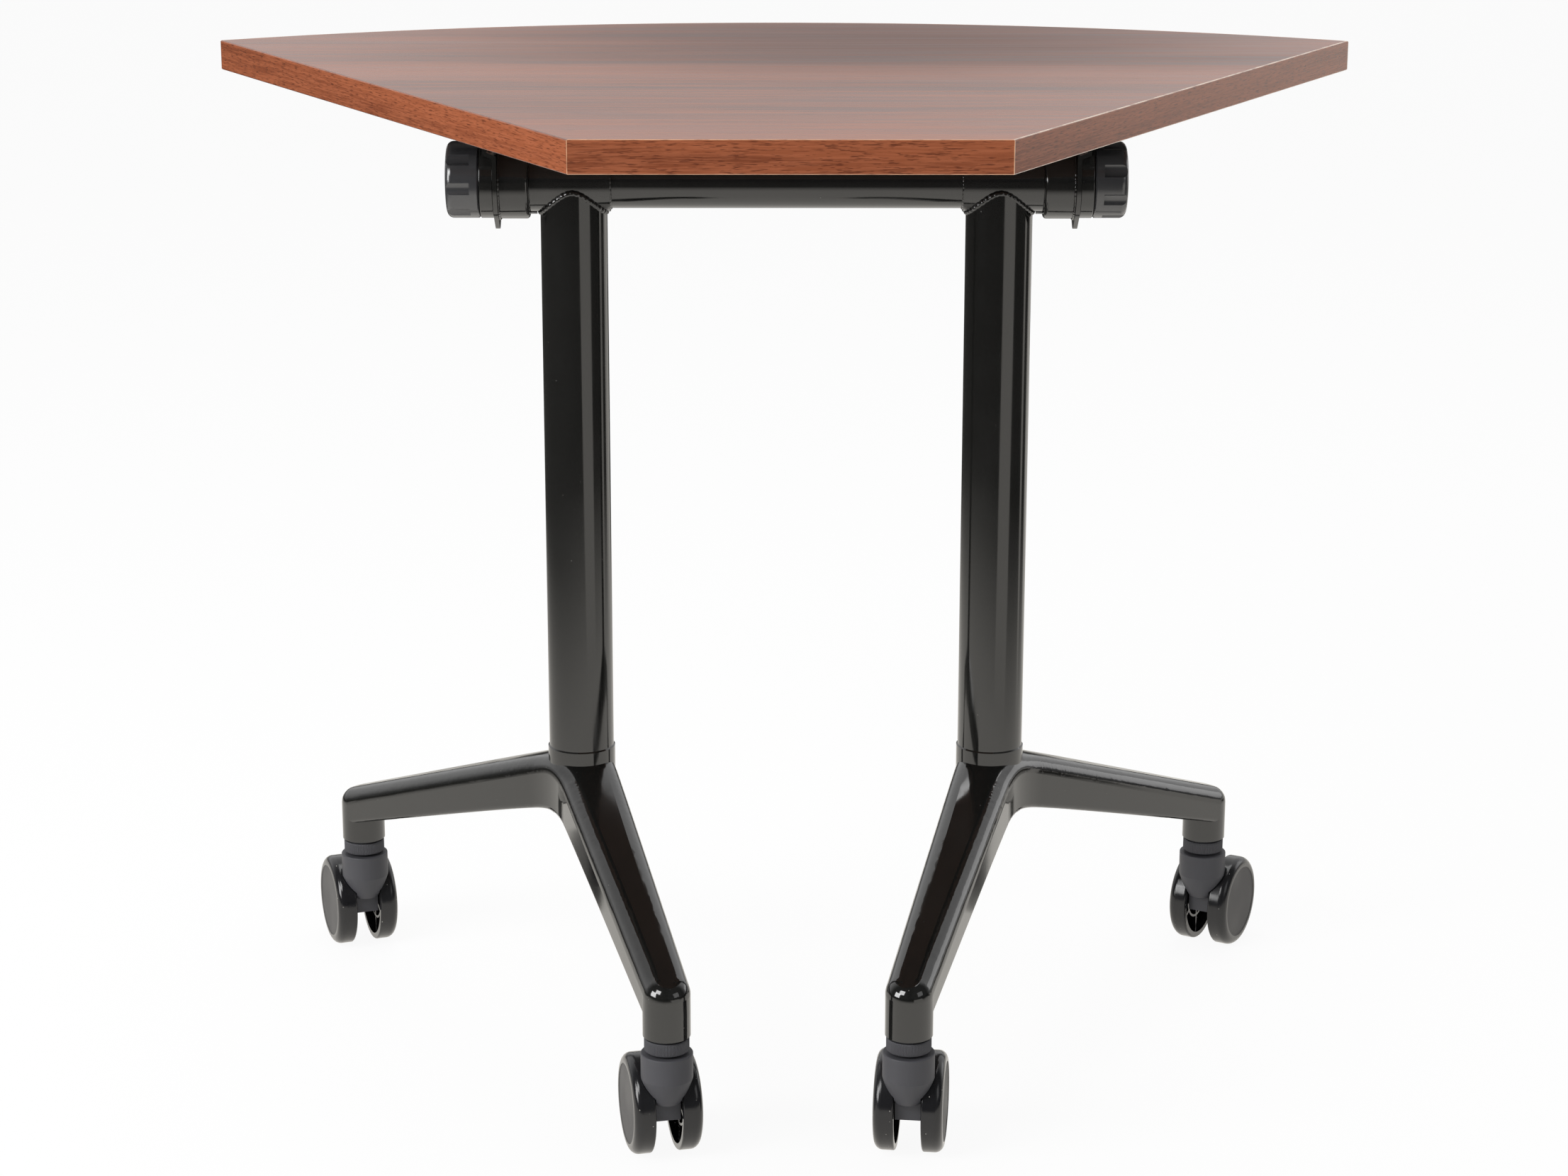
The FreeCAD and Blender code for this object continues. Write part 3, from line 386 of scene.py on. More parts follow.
@dataclass(frozen=True)
class Coating(Finish):
    """Paint or moulded plastic: an even colour with a skin, mottled gloss and dust."""

    colour: Colour
    dust_colour: Colour = (96, 94, 90)
    roughness: tuple[float, float] = (0.07, 0.13)
    specular: float = 0.5
    peel: float = 700.0
    wave: float = 25.0
    wave_share: float = 1.0
    depth: float = 0.00004
    strength: float = 0.3
    mottle: float = 0.12
    gloss_level: tuple[float, float] = (0.3, 0.7)
    speck_scale: float = 520.0
    speck_share: float = 0.006
    speck_dull: float = 0.4

    def dress(self, build: Tree, shader: bpy.types.Node, place: Any) -> None:
        """Adds the skin, the mottle and the dust.

        Args:
            build: the material's tree.
            shader: the Principled node to feed.
            place: socket of the object's coordinates.
        """
        skin = build.group(
            skin_group(),
            {"Vector": place, "Peel": self.peel, "Wave": self.wave, "Wave Share": self.wave_share},
        )
        specks = build.group(
            specks_group(),
            {"Vector": place, "Scale": self.speck_scale, "Share": self.speck_share},
        )
        base = linear(self.colour)
        pale = tuple(min(c * (1 + 2 * self.mottle), 1.0) for c in base[:3]) + (1.0,)
        dark = tuple(c * (1 - self.mottle) for c in base[:3]) + (1.0,)
        clean = build.mix(skin.outputs["Mottle"], dark, pale)
        colour = build.mix(specks.outputs["Mask"], clean, linear(self.dust_colour))
        build.tree.links.new(colour, shader.inputs["Base Color"])
        gloss = build.ramp(skin.outputs["Mottle"], *self.gloss_level, *self.roughness)
        dull = build.math("MULTIPLY", specks.outputs["Mask"], self.speck_dull)
        rough = build.math("ADD", gloss, dull, True)
        build.tree.links.new(rough, shader.inputs["Roughness"])
        shader.inputs["Specular IOR Level"].default_value = self.specular
        self.bump(build, shader, skin.outputs["Height"], self.depth, self.strength)


@dataclass(frozen=True)
class Wood(Finish):
    """Wood print with straight grain, turned by heading degrees about Z."""

    dark: Colour
    mid: Colour
    pale: Colour
    pore: Colour = (52, 26, 18)
    heading: float = 0.0
    band: float = 16.0
    band_level: tuple[float, float] = (0.36, 0.64)
    streak: float = 130.0
    streak_level: tuple[float, float] = (0.34, 0.66)
    streak_share: float = 0.6
    pores: float = 420.0
    pore_level: tuple[float, float] = (0.60, 0.72)
    pore_share: float = 0.75
    gloss_level: tuple[float, float] = (0.3, 0.7)
    roughness: tuple[float, float] = (0.22, 0.30)
    depth: float = 0.00003
    strength: float = 0.25

    def along(self, build: Tree, place: Any) -> Any:
        """Coordinates whose X runs along the grain."""
        return build.mapped(place, (1.0, 1.0, 1.0), -self.heading)

    def accent(self, build: Tree, colour: Any, place: Any) -> Any:
        """Finishes the grain's colour; plain sheets leave it as it is."""
        return colour

    def dulled(self, build: Tree, rough: Any, place: Any) -> Any:
        """Finishes the grain's roughness; plain sheets leave it as it is."""
        return rough

    def dress(self, build: Tree, shader: bpy.types.Node, place: Any) -> None:
        """Adds bands, streaks and pores.

        Args:
            build: the material's tree.
            shader: the Principled node to feed.
            place: socket of the object's coordinates.
        """
        grain = build.group(
            grain_group(),
            {
                "Vector": self.along(build, place),
                "Band": self.band,
                "Streak": self.streak,
                "Pore": self.pores,
            },
        )
        band = build.ramp(grain.outputs["Band"], *self.band_level)
        streak = build.ramp(grain.outputs["Streak"], *self.streak_level)
        tone = build.mix(band, linear(self.dark), linear(self.mid))
        tone = build.mix(build.math("MULTIPLY", streak, self.streak_share), tone, linear(self.pale))
        pore = build.ramp(grain.outputs["Pore"], *self.pore_level)
        tone = build.mix(build.math("MULTIPLY", pore, self.pore_share), tone, linear(self.pore))
        build.tree.links.new(self.accent(build, tone, place), shader.inputs["Base Color"])
        rough = build.ramp(grain.outputs["Streak"], *self.gloss_level, *self.roughness)
        build.tree.links.new(self.dulled(build, rough, place), shader.inputs["Roughness"])
        height = build.math("SUBTRACT", grain.outputs["Streak"], pore)
        self.bump(build, shader, height, self.depth, self.strength)


@dataclass(frozen=True)
class Laminate(Wood):
    """Worktop print: soft wide grain, with painted shade as a darker, duller oval in the far middle of the
    top.
    """

    dark: Colour = (92, 50, 35)
    mid: Colour = (138, 78, 53)
    pale: Colour = (158, 95, 67)
    band: float = 11.0
    pore_share: float = 0.35
    # Painted shade: where and how large the darker oval is, and how much it darkens and dulls the print.
    shade_oval_at: tuple[float, float] = (0.08, 0.21)
    shade_oval_half: tuple[float, float] = (0.5, 0.34)
    shade_oval_level: tuple[float, float] = (0.25, 1.2)
    shade_oval_share: float = 0.7
    shade_oval_dull: float = 0.2
    rim_scale: float = 3.0
    rim_stretch: float = 6.0
    rim_share: float = 0.4

    def shade_oval(self, build: Tree, place: Any) -> Any:
        """Mask of the painted shade: a long oval with an uneven rim.

        Args:
            build: the material's tree.
            place: socket of the object's coordinates.

        Returns:
            The mask's socket, 1 at the middle.
        """
        moved = build.add(
            "ShaderNodeVectorMath", {0: place, 1: (*self.shade_oval_at, 0.0)}, operation="SUBTRACT"
        ).outputs[0]
        sizes = (1 / self.shade_oval_half[0], 1 / self.shade_oval_half[1], 0.0)
        scaled = build.add("ShaderNodeVectorMath", {0: moved, 1: sizes}, operation="MULTIPLY").outputs[0]
        away = build.add("ShaderNodeVectorMath", {0: scaled}, operation="LENGTH").outputs["Value"]
        uneven = build.noise(build.mapped(place, (1.0, self.rim_stretch, 1.0)), self.rim_scale)
        reach = build.math("ADD", away, build.math("MULTIPLY", uneven, self.rim_share))
        return build.ramp(reach, *self.shade_oval_level, 1.0, 0.0)

    def accent(self, build: Tree, colour: Any, place: Any) -> Any:
        """Paints shade: darkens the print in the oval towards the pore colour."""
        amount = build.math("MULTIPLY", self.shade_oval(build, place), self.shade_oval_share)
        return build.mix(amount, colour, linear(self.pore))

    def dulled(self, build: Tree, rough: Any, place: Any) -> Any:
        """Takes gloss off the oval of painted shade."""
        more = build.math("MULTIPLY", self.shade_oval(build, place), self.shade_oval_dull)
        return build.math("ADD", rough, more, True)


@dataclass(frozen=True)
class EdgeBand(Wood):
    """Edge band print: grain along the edge, with a thin line where the band is bevelled or mitred. The
    line's colour holds painted light: a painted glint on the right band and painted shade on the left.
    """

    dark: Colour = (112, 59, 37)
    mid: Colour = (135, 74, 47)
    pale: Colour = (158, 91, 60)
    pore: Colour = (84, 42, 26)
    band: float = 60.0
    streak: float = 900.0
    pores: float = 1300.0
    pore_level: tuple[float, float] = (0.55, 0.66)
    roughness: tuple[float, float] = (0.16, 0.25)
    # Pale bevel line; the worktop gives the right band a painted glint and the left band painted shade
    # instead.
    line: Colour = (214, 164, 128)
    low: float = field(kw_only=True)
    high: float = field(kw_only=True)
    corners: tuple[tuple[float, float], ...] = field(kw_only=True)
    line_width: float = 0.65 * MM
    top_share: float = 1.8
    wear_scale: float = 90.0
    wear_level: tuple[float, float] = (0.3, 0.6)
    wear_share: tuple[float, float] = (0.35, 0.9)

    def along(self, build: Tree, place: Any) -> Any:
        """Turns the print to run along this edge, with its height as the second direction.

        Args:
            build: the material's tree.
            place: socket of the object's coordinates.

        Returns:
            The socket of the turned coordinates.
        """
        turned = build.mapped(place, (1.0, 1.0, 1.0), -self.heading)
        parts = build.add("ShaderNodeSeparateXYZ", {0: turned}).outputs
        return build.add("ShaderNodeCombineXYZ", {0: parts[0], 1: parts[2], 2: parts[1]}).outputs[0]

    def accent(self, build: Tree, colour: Any, place: Any) -> Any:
        """Paints the thin lines by the distance to the nearest outer arris or mitred corner. The colour is
        a pale bevel on the front band, a painted glint on the right band and painted shade on the left.

        Args:
            build: the material's tree.
            colour: socket of the grain's colour.
            place: socket of the object's coordinates.

        Returns:
            The socket of the colour with its lines.
        """
        parts = build.add("ShaderNodeSeparateXYZ", {0: place}).outputs
        below = build.math("SUBTRACT", parts[2], self.low)
        above = build.math("SUBTRACT", self.high, parts[2])
        reach = build.math("MINIMUM", below, build.math("MULTIPLY", above, self.top_share))
        across = build.math("ABSOLUTE", parts[0])
        for x, y in self.corners:
            gap_x = build.math("SUBTRACT", across, x)
            gap_y = build.math("SUBTRACT", parts[1], y)
            square = build.math(
                "ADD", build.math("POWER", gap_x, 2.0), build.math("POWER", gap_y, 2.0)
            )
            reach = build.math("MINIMUM", reach, build.math("SQRT", square))
        near = build.ramp(reach, self.line_width * 0.5, self.line_width, 1.0, 0.0)
        wear = build.ramp(build.noise(place, self.wear_scale, 3.0), *self.wear_level, *self.wear_share)
        return build.mix(build.math("MULTIPLY", near, wear), colour, linear(self.line))


@dataclass(frozen=True)
class CurvedBand(EdgeBand):
    """Edge band on the curved outer edge: the grain follows the arc about the desk's apex."""

    apex_y: float = field(kw_only=True)
    radius: float = field(kw_only=True)

    def along(self, build: Tree, place: Any) -> Any:
        """Unrolls the arc: the first direction is the angle about the apex times the radius.

        Args:
            build: the material's tree.
            place: socket of the object's coordinates.

        Returns:
            The socket of the unrolled coordinates.
        """
        parts = build.add("ShaderNodeSeparateXYZ", {0: place}).outputs
        ahead = build.math("SUBTRACT", parts[1], self.apex_y)
        angle = build.math("ARCTAN2", parts[0], ahead)
        length = build.math("MULTIPLY", angle, self.radius)
        return build.add("ShaderNodeCombineXYZ", {0: length, 1: parts[2], 2: ahead}).outputs[0]


@dataclass(frozen=True)
class Chipboard(Finish):
    """Raw chipboard: pressed flakes of several tones."""

    colours: tuple[Colour, Colour] = ((150, 116, 76), (204, 172, 126))
    flake: float = 380.0
    roughness: tuple[float, float] = (0.7, 0.95)
    depth: float = 0.0002
    strength: float = 0.4

    def dress(self, build: Tree, shader: bpy.types.Node, place: Any) -> None:
        """Adds the flakes and their uneven surface.

        Args:
            build: the material's tree.
            shader: the Principled node to feed.
            place: socket of the object's coordinates.
        """
        cells = build.add("ShaderNodeTexVoronoi", {"Vector": place, "Scale": self.flake})
        parts = build.add("ShaderNodeSeparateColor", {"Color": cells.outputs["Color"]}).outputs
        colour = build.mix(parts[0], linear(self.colours[0]), linear(self.colours[1]))
        build.tree.links.new(colour, shader.inputs["Base Color"])
        build.tree.links.new(build.ramp(parts[1], 0.0, 1.0, *self.roughness), shader.inputs["Roughness"])
        self.bump(build, shader, parts[2], self.depth, self.strength)


@dataclass(frozen=True)
class Steel(Finish):
    """Zinc-plated steel with fine turning marks and cloudy plating."""

    colour: Colour = (176, 177, 180)
    cloud: float = 60.0
    cloud_share: float = 0.7
    mark: float = 220.0
    mark_stretch: float = 14.0
    mark_level: tuple[float, float] = (0.3, 0.7)
    roughness: tuple[float, float] = (0.28, 0.45)
    depth: float = 0.00002
    strength: float = 0.3

    def dress(self, build: Tree, shader: bpy.types.Node, place: Any) -> None:
        """Adds the clouds and the marks.

        Args:
            build: the material's tree.
            shader: the Principled node to feed.
            place: socket of the object's coordinates.
        """
        clouds = build.noise(place, self.cloud, 3.0)
        marks = build.noise(build.mapped(place, (1.0, 1.0, self.mark_stretch)), self.mark)
        base = linear(self.colour)
        dull = tuple(c * self.cloud_share for c in base[:3]) + (1.0,)
        build.tree.links.new(build.mix(clouds, dull, base), shader.inputs["Base Color"])
        rough = build.ramp(marks, *self.mark_level, *self.roughness)
        build.tree.links.new(rough, shader.inputs["Roughness"])
        shader.inputs["Metallic"].default_value = 1.0
        self.bump(build, shader, marks, self.depth, self.strength)


GLOSS_BLACK = Coating("gloss_black_paint", colour=(20, 20, 19), specular=0.9, depth=0.00003, strength=0.2)
CAST_BLACK = Coating(
    "gloss_black_casting",
    colour=(18, 18, 17),
    specular=0.9,
    roughness=(0.06, 0.12),
    wave=14.0,
    wave_share=1.5,
    depth=0.00003,
    strength=0.1,
)
KNOB_BLACK = Coating(
    "satin_black_plastic",
    colour=(52, 52, 54),
    specular=1.0,
    roughness=(0.16, 0.22),
    peel=1500.0,
    depth=0.00005,
)
CASTER_GREY = Coating(
    "textured_grey_plastic",
    colour=(66, 66, 70),
    specular=0.4,
    roughness=(0.5, 0.62),
    peel=1900.0,
    depth=0.00009,
    strength=0.5,
    mottle=0.06,
    speck_share=0.004,
)
CAP_GREY = replace(CASTER_GREY, name="textured_cap_grey", colour=(70, 69, 69))
WHEEL_BLACK = Coating(
    "dusty_gloss_black",
    colour=(24, 24, 26),
    dust_colour=(150, 148, 142),
    roughness=(0.12, 0.22),
    peel=500.0,
    speck_scale=420.0,
    speck_share=0.10,
    mottle=0.2,
)
NYLON = Coating(
    "natural_nylon",
    colour=(214, 210, 198),
    roughness=(0.4, 0.5),
    peel=900.0,
    dust_colour=(150, 145, 135),
    mottle=0.04,
)
ZINC = Steel("zinc_plate")
FLAKES = Chipboard("pressed_flakes")
BACKING = Wood(
    "backing_sheet",
    dark=(70, 48, 36),
    mid=(84, 58, 44),
    pale=(96, 67, 51),
    pore=(60, 40, 30),
    roughness=(0.55, 0.7),
)


# Meshes


@dataclass(frozen=True)
class Axes:
    """A local frame: a centre and three unit directions."""

    centre: np.ndarray
    first: np.ndarray
    second: np.ndarray
    third: np.ndarray

    def place(self, first: np.ndarray, second: np.ndarray, third: np.ndarray) -> np.ndarray:
        """Points at given distances along the three directions.

        Args:
            first: distances along the first direction.
            second: distances along the second direction.
            third: distances along the third direction.

        Returns:
            The points, in an array with one more axis.
        """
        return (
            self.centre
            + first[..., None] * self.first
            + second[..., None] * self.second
            + third[..., None] * self.third
        )


def upright(centre: Any) -> Axes:
    """A local frame with its third direction up."""
    return Axes(np.array(centre, float), *np.eye(3))


def along_x(centre: Any) -> Axes:
    """A local frame with its third direction along X."""
    x, y, z = np.eye(3)
    return Axes(np.array(centre, float), y, z, x)


def grid_faces(rows: int, columns: int, wrap_rows: bool, wrap_columns: bool) -> np.ndarray:
    """Quads between neighbouring points of a grid.

    Args:
        rows: points in the first direction.
        columns: points in the second direction.
        wrap_rows: whether the last row joins the first.
        wrap_columns: whether the last column joins the first.

    Returns:
        Four point numbers for each quad.
    """
    index = np.arange(rows * columns).reshape(rows, columns)
    if wrap_rows:
        index = np.vstack([index, index[:1]])
    if wrap_columns:
        index = np.hstack([index, index[:, :1]])
    corners = [index[:-1, :-1], index[1:, :-1], index[1:, 1:], index[:-1, 1:]]
    return np.stack(corners, axis=-1).reshape(-1, 4)


def make_piece(name: str, points: np.ndarray, faces: np.ndarray, crease: float) -> bpy.types.Object:
    """Makes an object from points and quads, joined at seams and poles and facing outwards.

    Args:
        name: name of the piece.
        points: an array of points.
        faces: an array of point numbers.
        crease: angle in degrees past which an edge stays sharp.

    Returns:
        The object, at the origin.
    """
    mesh = bpy.data.meshes.new(name)
    mesh.from_pydata(points.reshape(-1, 3).tolist(), [], faces.tolist())
    work = bmesh.new()
    work.from_mesh(mesh)
    bmesh.ops.remove_doubles(work, verts=work.verts, dist=MERGE)
    bmesh.ops.recalc_face_normals(work, faces=work.faces)
    work.to_mesh(mesh)
    work.free()
    mesh.polygons.foreach_set("use_smooth", np.ones(len(mesh.polygons), bool))
    mesh.set_sharp_from_angle(angle=math.radians(crease))
    piece = bpy.data.objects.new(name, mesh)
    bpy.context.scene.collection.objects.link(piece)
    return piece


def finish_piece(piece: bpy.types.Object, body: str, finish: Finish) -> None:
    """Gives a piece its material and its body, and reports it.

    Args:
        piece: the piece.
        body: body that it rides on.
        finish: its finish.
    """
    piece.data.materials.append(finish.material())
    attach(piece, body)
    log.info("%s: %d faces on %s", piece.name, len(piece.data.polygons), body)


def dress_node(node: str, finish: Finish) -> None:
    """Gives a CAD node its material and reports it.

    Args:
        node: name of the node.
        finish: its finish.
    """
    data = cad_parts[node].data
    data.materials.clear()
    data.materials.append(finish.material())
    log.info("%s: %s", node, finish.name)


def middle(node: str) -> np.ndarray:
    """Centre of a CAD node's box."""
    low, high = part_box(node)
    return np.array((low + high) / 2)


def extent(node: str) -> np.ndarray:
    """Size of a CAD node's box."""
    low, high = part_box(node)
    return np.array(high - low)


def bead(path: np.ndarray, outward: np.ndarray, radius: np.ndarray, sides: int) -> np.ndarray:
    """A closed round bead along a closed path.

    The section at each path point is a circle in the plane of the outward direction and of the normal
    to both the path and that direction.

    Args:
        path: points of the closed path.
        outward: a unit direction at each point, square to the path.
        radius: bead radius at each point.
        sides: points round the section.

    Returns:
        A grid of points, path by section.
    """
    ahead = np.roll(path, -1, axis=0) - np.roll(path, 1, axis=0)
    ahead /= np.linalg.norm(ahead, axis=1, keepdims=True)
    side = np.cross(ahead, outward)
    side /= np.linalg.norm(side, axis=1, keepdims=True)
    turn = np.linspace(0, 2 * np.pi, sides, endpoint=False)
    spread = radius[:, None, None] * (
        np.cos(turn)[None, :, None] * outward[:, None, :] + np.sin(turn)[None, :, None] * side[:, None, :]
    )
    return path[:, None, :] + spread


def ripple(count: int, length: float, pitch: float, depth: float, seed: int) -> np.ndarray:
    """Relative bead size along a weld: even ripples plus a slow drift of seeded random waves.

    Args:
        count: points along the weld.
        length: length of the weld.
        pitch: length of one ripple.
        depth: share of the size that the ripples take.
        seed: seed of the drift.

    Returns:
        A factor near 1 for each point, closed over the weld.
    """
    turn = np.linspace(0, 2 * np.pi, count, endpoint=False)
    draw = np.random.default_rng(seed)
    waves = np.arange(1, DRIFT_WAVES + 1)[:, None]
    heights = draw.normal(0, 1 / waves)
    starts = draw.uniform(0, 2 * np.pi, waves.shape)
    drift = (heights * np.sin(waves * turn + starts)).sum(0)
    ripples = np.abs(np.sin(turn * round(length / pitch / 2)))
    return 1 + depth * (ripples - 0.5) + 0.5 * depth * drift


# The desk's own assemblies


@dataclass
class Worktop:
    """Fan-shaped worktop: laminate, board and edge bands."""

    half_angle: float = 30.0
    # Heading and line colour of each band. The right band's near-white line is a painted glint, the left
    # band's dark line is painted shade, and the front's pale line is the bevel.
    band_nodes: dict[str, tuple[float, Colour]] = field(
        default_factory=lambda: {
            "edge_band_front": (0.0, (214, 164, 128)),
            "edge_band_right": (60.0, (236, 214, 194)),
            "edge_band_left": (-60.0, (104, 58, 40)),
        }
    )

    def corners(self) -> tuple[tuple[float, float], tuple[float, float]]:
        """Reads the plan's right corners from the bands' boxes.

        Returns:
            X and Y of the front and of the rear corner.
        """
        front_low, front_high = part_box("edge_band_front")
        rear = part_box("edge_band_right")[1]
        return (front_high.x, front_low.y), (rear.x, rear.y)

    def apex(self) -> float:
        """Place along Y of the point where the two sides would meet."""
        (x, y), _ = self.corners()
        return y - x / math.tan(math.radians(self.half_angle))

    def build(self) -> None:
        """Dresses the sheets and bands."""
        dress_node("top_laminate", Laminate("walnut_laminate"))
        dress_node("core_board", FLAKES)
        dress_node("backing_laminate", BACKING)
        low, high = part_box("edge_band_front")
        shared = {"low": low.z, "high": high.z, "corners": self.corners()}
        # Each band's line colour paints its glint or its shade, as listed in band_nodes.
        for node, (heading, line) in self.band_nodes.items():
            dress_node(node, EdgeBand(f"walnut_{node}", heading=heading, line=line, **shared))
        curve = CurvedBand(
            "walnut_edge_band_rear",
            apex_y=self.apex(),
            radius=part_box("edge_band_rear")[1].y - self.apex(),
            **shared,
        )
        dress_node("edge_band_rear", curve)


@dataclass
class HingeHead:
    """One end of the cross beam: bracket, sleeve, collar, column and the welds between them."""

    side: Side
    saddle: float = 27 * MM
    saddle_stretch: float = 1.2
    saddle_seed: int = 3
    weld: float = 2.0 * MM
    weld_sink: float = 0.6
    toe: float = 0.45
    weld_pitch: float = 4.5 * MM
    weld_depth: float = 0.2
    ring_weld: float = 1.1 * MM
    ring_pitch: float = 3.5 * MM
    ring_depth: float = 0.18
    collar_seed: int = 11
    sleeve_seed: int = 21
    sleeve_sink: float = 0.5 * MM
    saddle_points: int = 480
    ring_points: int = 360
    sides: int = 16

    def build(self) -> None:
        """Dresses the nodes and adds the welds."""
        name = self.side.value
        for node in ("bracket", "hinge_sleeve", "head", "column"):
            dress_node(f"{node}_{name}", GLOSS_BLACK)
        self.add_saddle_weld()
        self.add_collar_weld()
        self.add_bracket_weld()

    def add_saddle_weld(self) -> None:
        """Weld where the column meets the collar.

        The path goes once round the column along its curved upper end. Its height is the collar's
        underside plus the saddle's radius, less the root of that radius squared less the distance from
        the tilt axis squared.
        """
        name = self.side.value
        low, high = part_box(f"column_{name}")
        axis = middle("cross_beam")
        collar = extent(f"head_{name}")[2] / 2
        column = (high.x - low.x) / 2
        centre = middle(f"column_{name}")
        turn = np.linspace(0, 2 * np.pi, self.saddle_points, endpoint=False)
        across, along = np.cos(turn), np.sin(turn)
        rise = self.saddle - np.sqrt(self.saddle**2 - (column * along) ** 2)
        path = np.stack(
            [centre[0] + column * across, centre[1] + column * along, axis[2] - collar + rise], axis=1
        )
        outward = np.stack([across, along, np.zeros_like(across)], axis=1)
        ahead = np.roll(path, -1, axis=0) - np.roll(path, 1, axis=0)
        ahead /= np.linalg.norm(ahead, axis=1, keepdims=True)
        outward -= ahead * (outward * ahead).sum(axis=1, keepdims=True)
        outward /= np.linalg.norm(outward, axis=1, keepdims=True)
        length = 2 * np.pi * column * self.saddle_stretch
        seed = self.saddle_seed + self.side.sign
        size = self.weld * ripple(len(turn), length, self.weld_pitch, self.weld_depth, seed)
        size *= 1 + self.toe * across**4
        points = bead(path - outward * self.weld * self.weld_sink, outward, size, self.sides)
        faces = grid_faces(*points.shape[:2], True, True)
        piece = make_piece(f"saddle_weld_{name}", points, faces, SMOOTH)
        finish_piece(piece, "base", GLOSS_BLACK)

    def add_ring(self, name: str, centre: np.ndarray, radius: float, body: str, seed: int) -> None:
        """Ring-shaped weld about the tilt axis.

        Args:
            name: name of the piece.
            centre: centre of the ring.
            radius: radius of the bead's middle line.
            body: body that the weld rides on.
            seed: seed of its uneven size.
        """
        turn = np.linspace(0, 2 * np.pi, self.ring_points, endpoint=False)
        axes = along_x(centre)
        zero = np.zeros_like(turn)
        path = axes.place(radius * np.cos(turn), radius * np.sin(turn), zero)
        outward = (path - axes.centre) / radius
        scale = ripple(len(turn), 2 * np.pi * radius, self.ring_pitch, self.ring_depth, seed)
        points = bead(path, outward, self.ring_weld * scale, self.sides)
        faces = grid_faces(*points.shape[:2], True, True)
        piece = make_piece(name, points, faces, SMOOTH)
        finish_piece(piece, body, GLOSS_BLACK)

    def add_collar_weld(self) -> None:
        """Weld that closes the collar's inner end on the beam."""
        name = self.side.value
        low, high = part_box(f"head_{name}")
        inner = high.x if self.side is Side.LEFT else low.x
        axis = middle("cross_beam")
        radius = extent("cross_beam")[2] / 2
        centre = np.array([inner, axis[1], axis[2]])
        self.add_ring(f"collar_weld_{name}", centre, radius, "base", self.collar_seed + self.side.sign)

    def add_bracket_weld(self) -> None:
        """Weld between the hinge sleeve and the bracket's eye plate."""
        name = self.side.value
        low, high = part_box(f"hinge_sleeve_{name}")
        outer = low.x if self.side is Side.LEFT else high.x
        axis = middle("cross_beam")
        radius = (high.z - low.z) / 2
        centre = np.array([outer - self.side.sign * self.sleeve_sink, axis[1], axis[2]])
        self.add_ring(f"sleeve_weld_{name}", centre, radius, "top", self.sleeve_seed + self.side.sign)


@dataclass
class BracketScrews:
    """Pan-head screws that hold the brackets under the worktop, with a cross recess."""

    edge_margins: tuple[float, float] = (13 * MM, 33 * MM)
    end_margin: float = 16 * MM
    sheet: float = 3.2 * MM
    bite: float = 14 * MM
    head_radius: float = 5 * MM
    head_height: float = 2.8 * MM
    shank_radius: float = 2.5 * MM
    recess_half: float = 0.6 * MM
    recess_reach: float = 2.7 * MM
    recess_depth: float = 1.5 * MM
    recess_taper: float = 0.7
    edge_share: float = 0.42
    crown_round: float = 0.98
    dome_rows: int = 9
    segments: int = 96
    start: float = 0.01
    crease: float = 30.0

    def turns(self) -> np.ndarray:
        """Angles round a screw, begun off the axes so that no arm's reach divides by zero."""
        return np.linspace(0, 2 * np.pi, self.segments, endpoint=False) + self.start

    def places(self) -> np.ndarray:
        """Seats of the screws, by their distances from the edges of the bracket's flange.

        Returns:
            One centre for each screw.
        """
        found = []
        for side in Side:
            low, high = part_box(f"bracket_{side.value}")
            outer = low.x if side is Side.LEFT else high.x
            for margin in self.edge_margins:
                for y in (low.y + self.end_margin, high.y - self.end_margin):
                    found.append((outer - side.sign * margin, y, high.z - self.sheet))
        return np.array(found)

    def shape(self) -> tuple[np.ndarray, np.ndarray]:
        """One screw about its own axis, head down.

        The cross is star-shaped, so its rim is a radius for each angle: the greater of the two arms'
        own reach in that direction. Rows run from the recess's floor over its rim and the dome to the
        head's edge, back to the shank and up to its end.

        Returns:
            Radius and height, each by row and angle.
        """
        turn = self.turns()
        across, along = np.abs(np.cos(turn)), np.abs(np.sin(turn))
        reach, half = self.recess_reach, self.recess_half
        one = np.minimum(reach / across, half / along)
        other = np.minimum(reach / along, half / across)
        rim = np.maximum(one, other)
        share = np.linspace(0, 1, self.dome_rows)[:, None]
        dome = rim + (self.head_radius - rim) * share
        arch = np.sqrt(1 - self.crown_round * (dome / self.head_radius) ** 2)
        crown = self.head_height * (self.edge_share + (1 - self.edge_share) * arch)
        flat = np.ones_like(turn)
        floor = self.recess_depth - self.head_height
        end = self.sheet + self.bite
        radius = np.vstack(
            [0 * flat, self.recess_taper * rim, dome, self.head_radius * flat]
            + [self.shank_radius * flat, self.shank_radius * flat, 0 * flat]
        )
        height = np.vstack([floor * flat, floor * flat, -crown, 0 * flat, 0 * flat, end * flat, end * flat])
        return radius, height

    def build(self) -> None:
        """Makes every screw in one piece that stands for the node."""
        dress_node("bracket_screws", ZINC)
        radius, height = self.shape()
        turn = self.turns()
        one = np.stack([radius * np.cos(turn), radius * np.sin(turn), height], axis=-1)
        points = self.places()[:, None, None, :] + one[None]
        faces = grid_faces(*radius.shape, False, True)
        step = np.arange(len(points))[:, None, None] * radius.size
        faces = (faces[None] + step).reshape(-1, 4)
        piece = make_piece("cross_recess_screws", points, faces, self.crease)
        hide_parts("bracket_screws")
        finish_piece(piece, "top", ZINC)


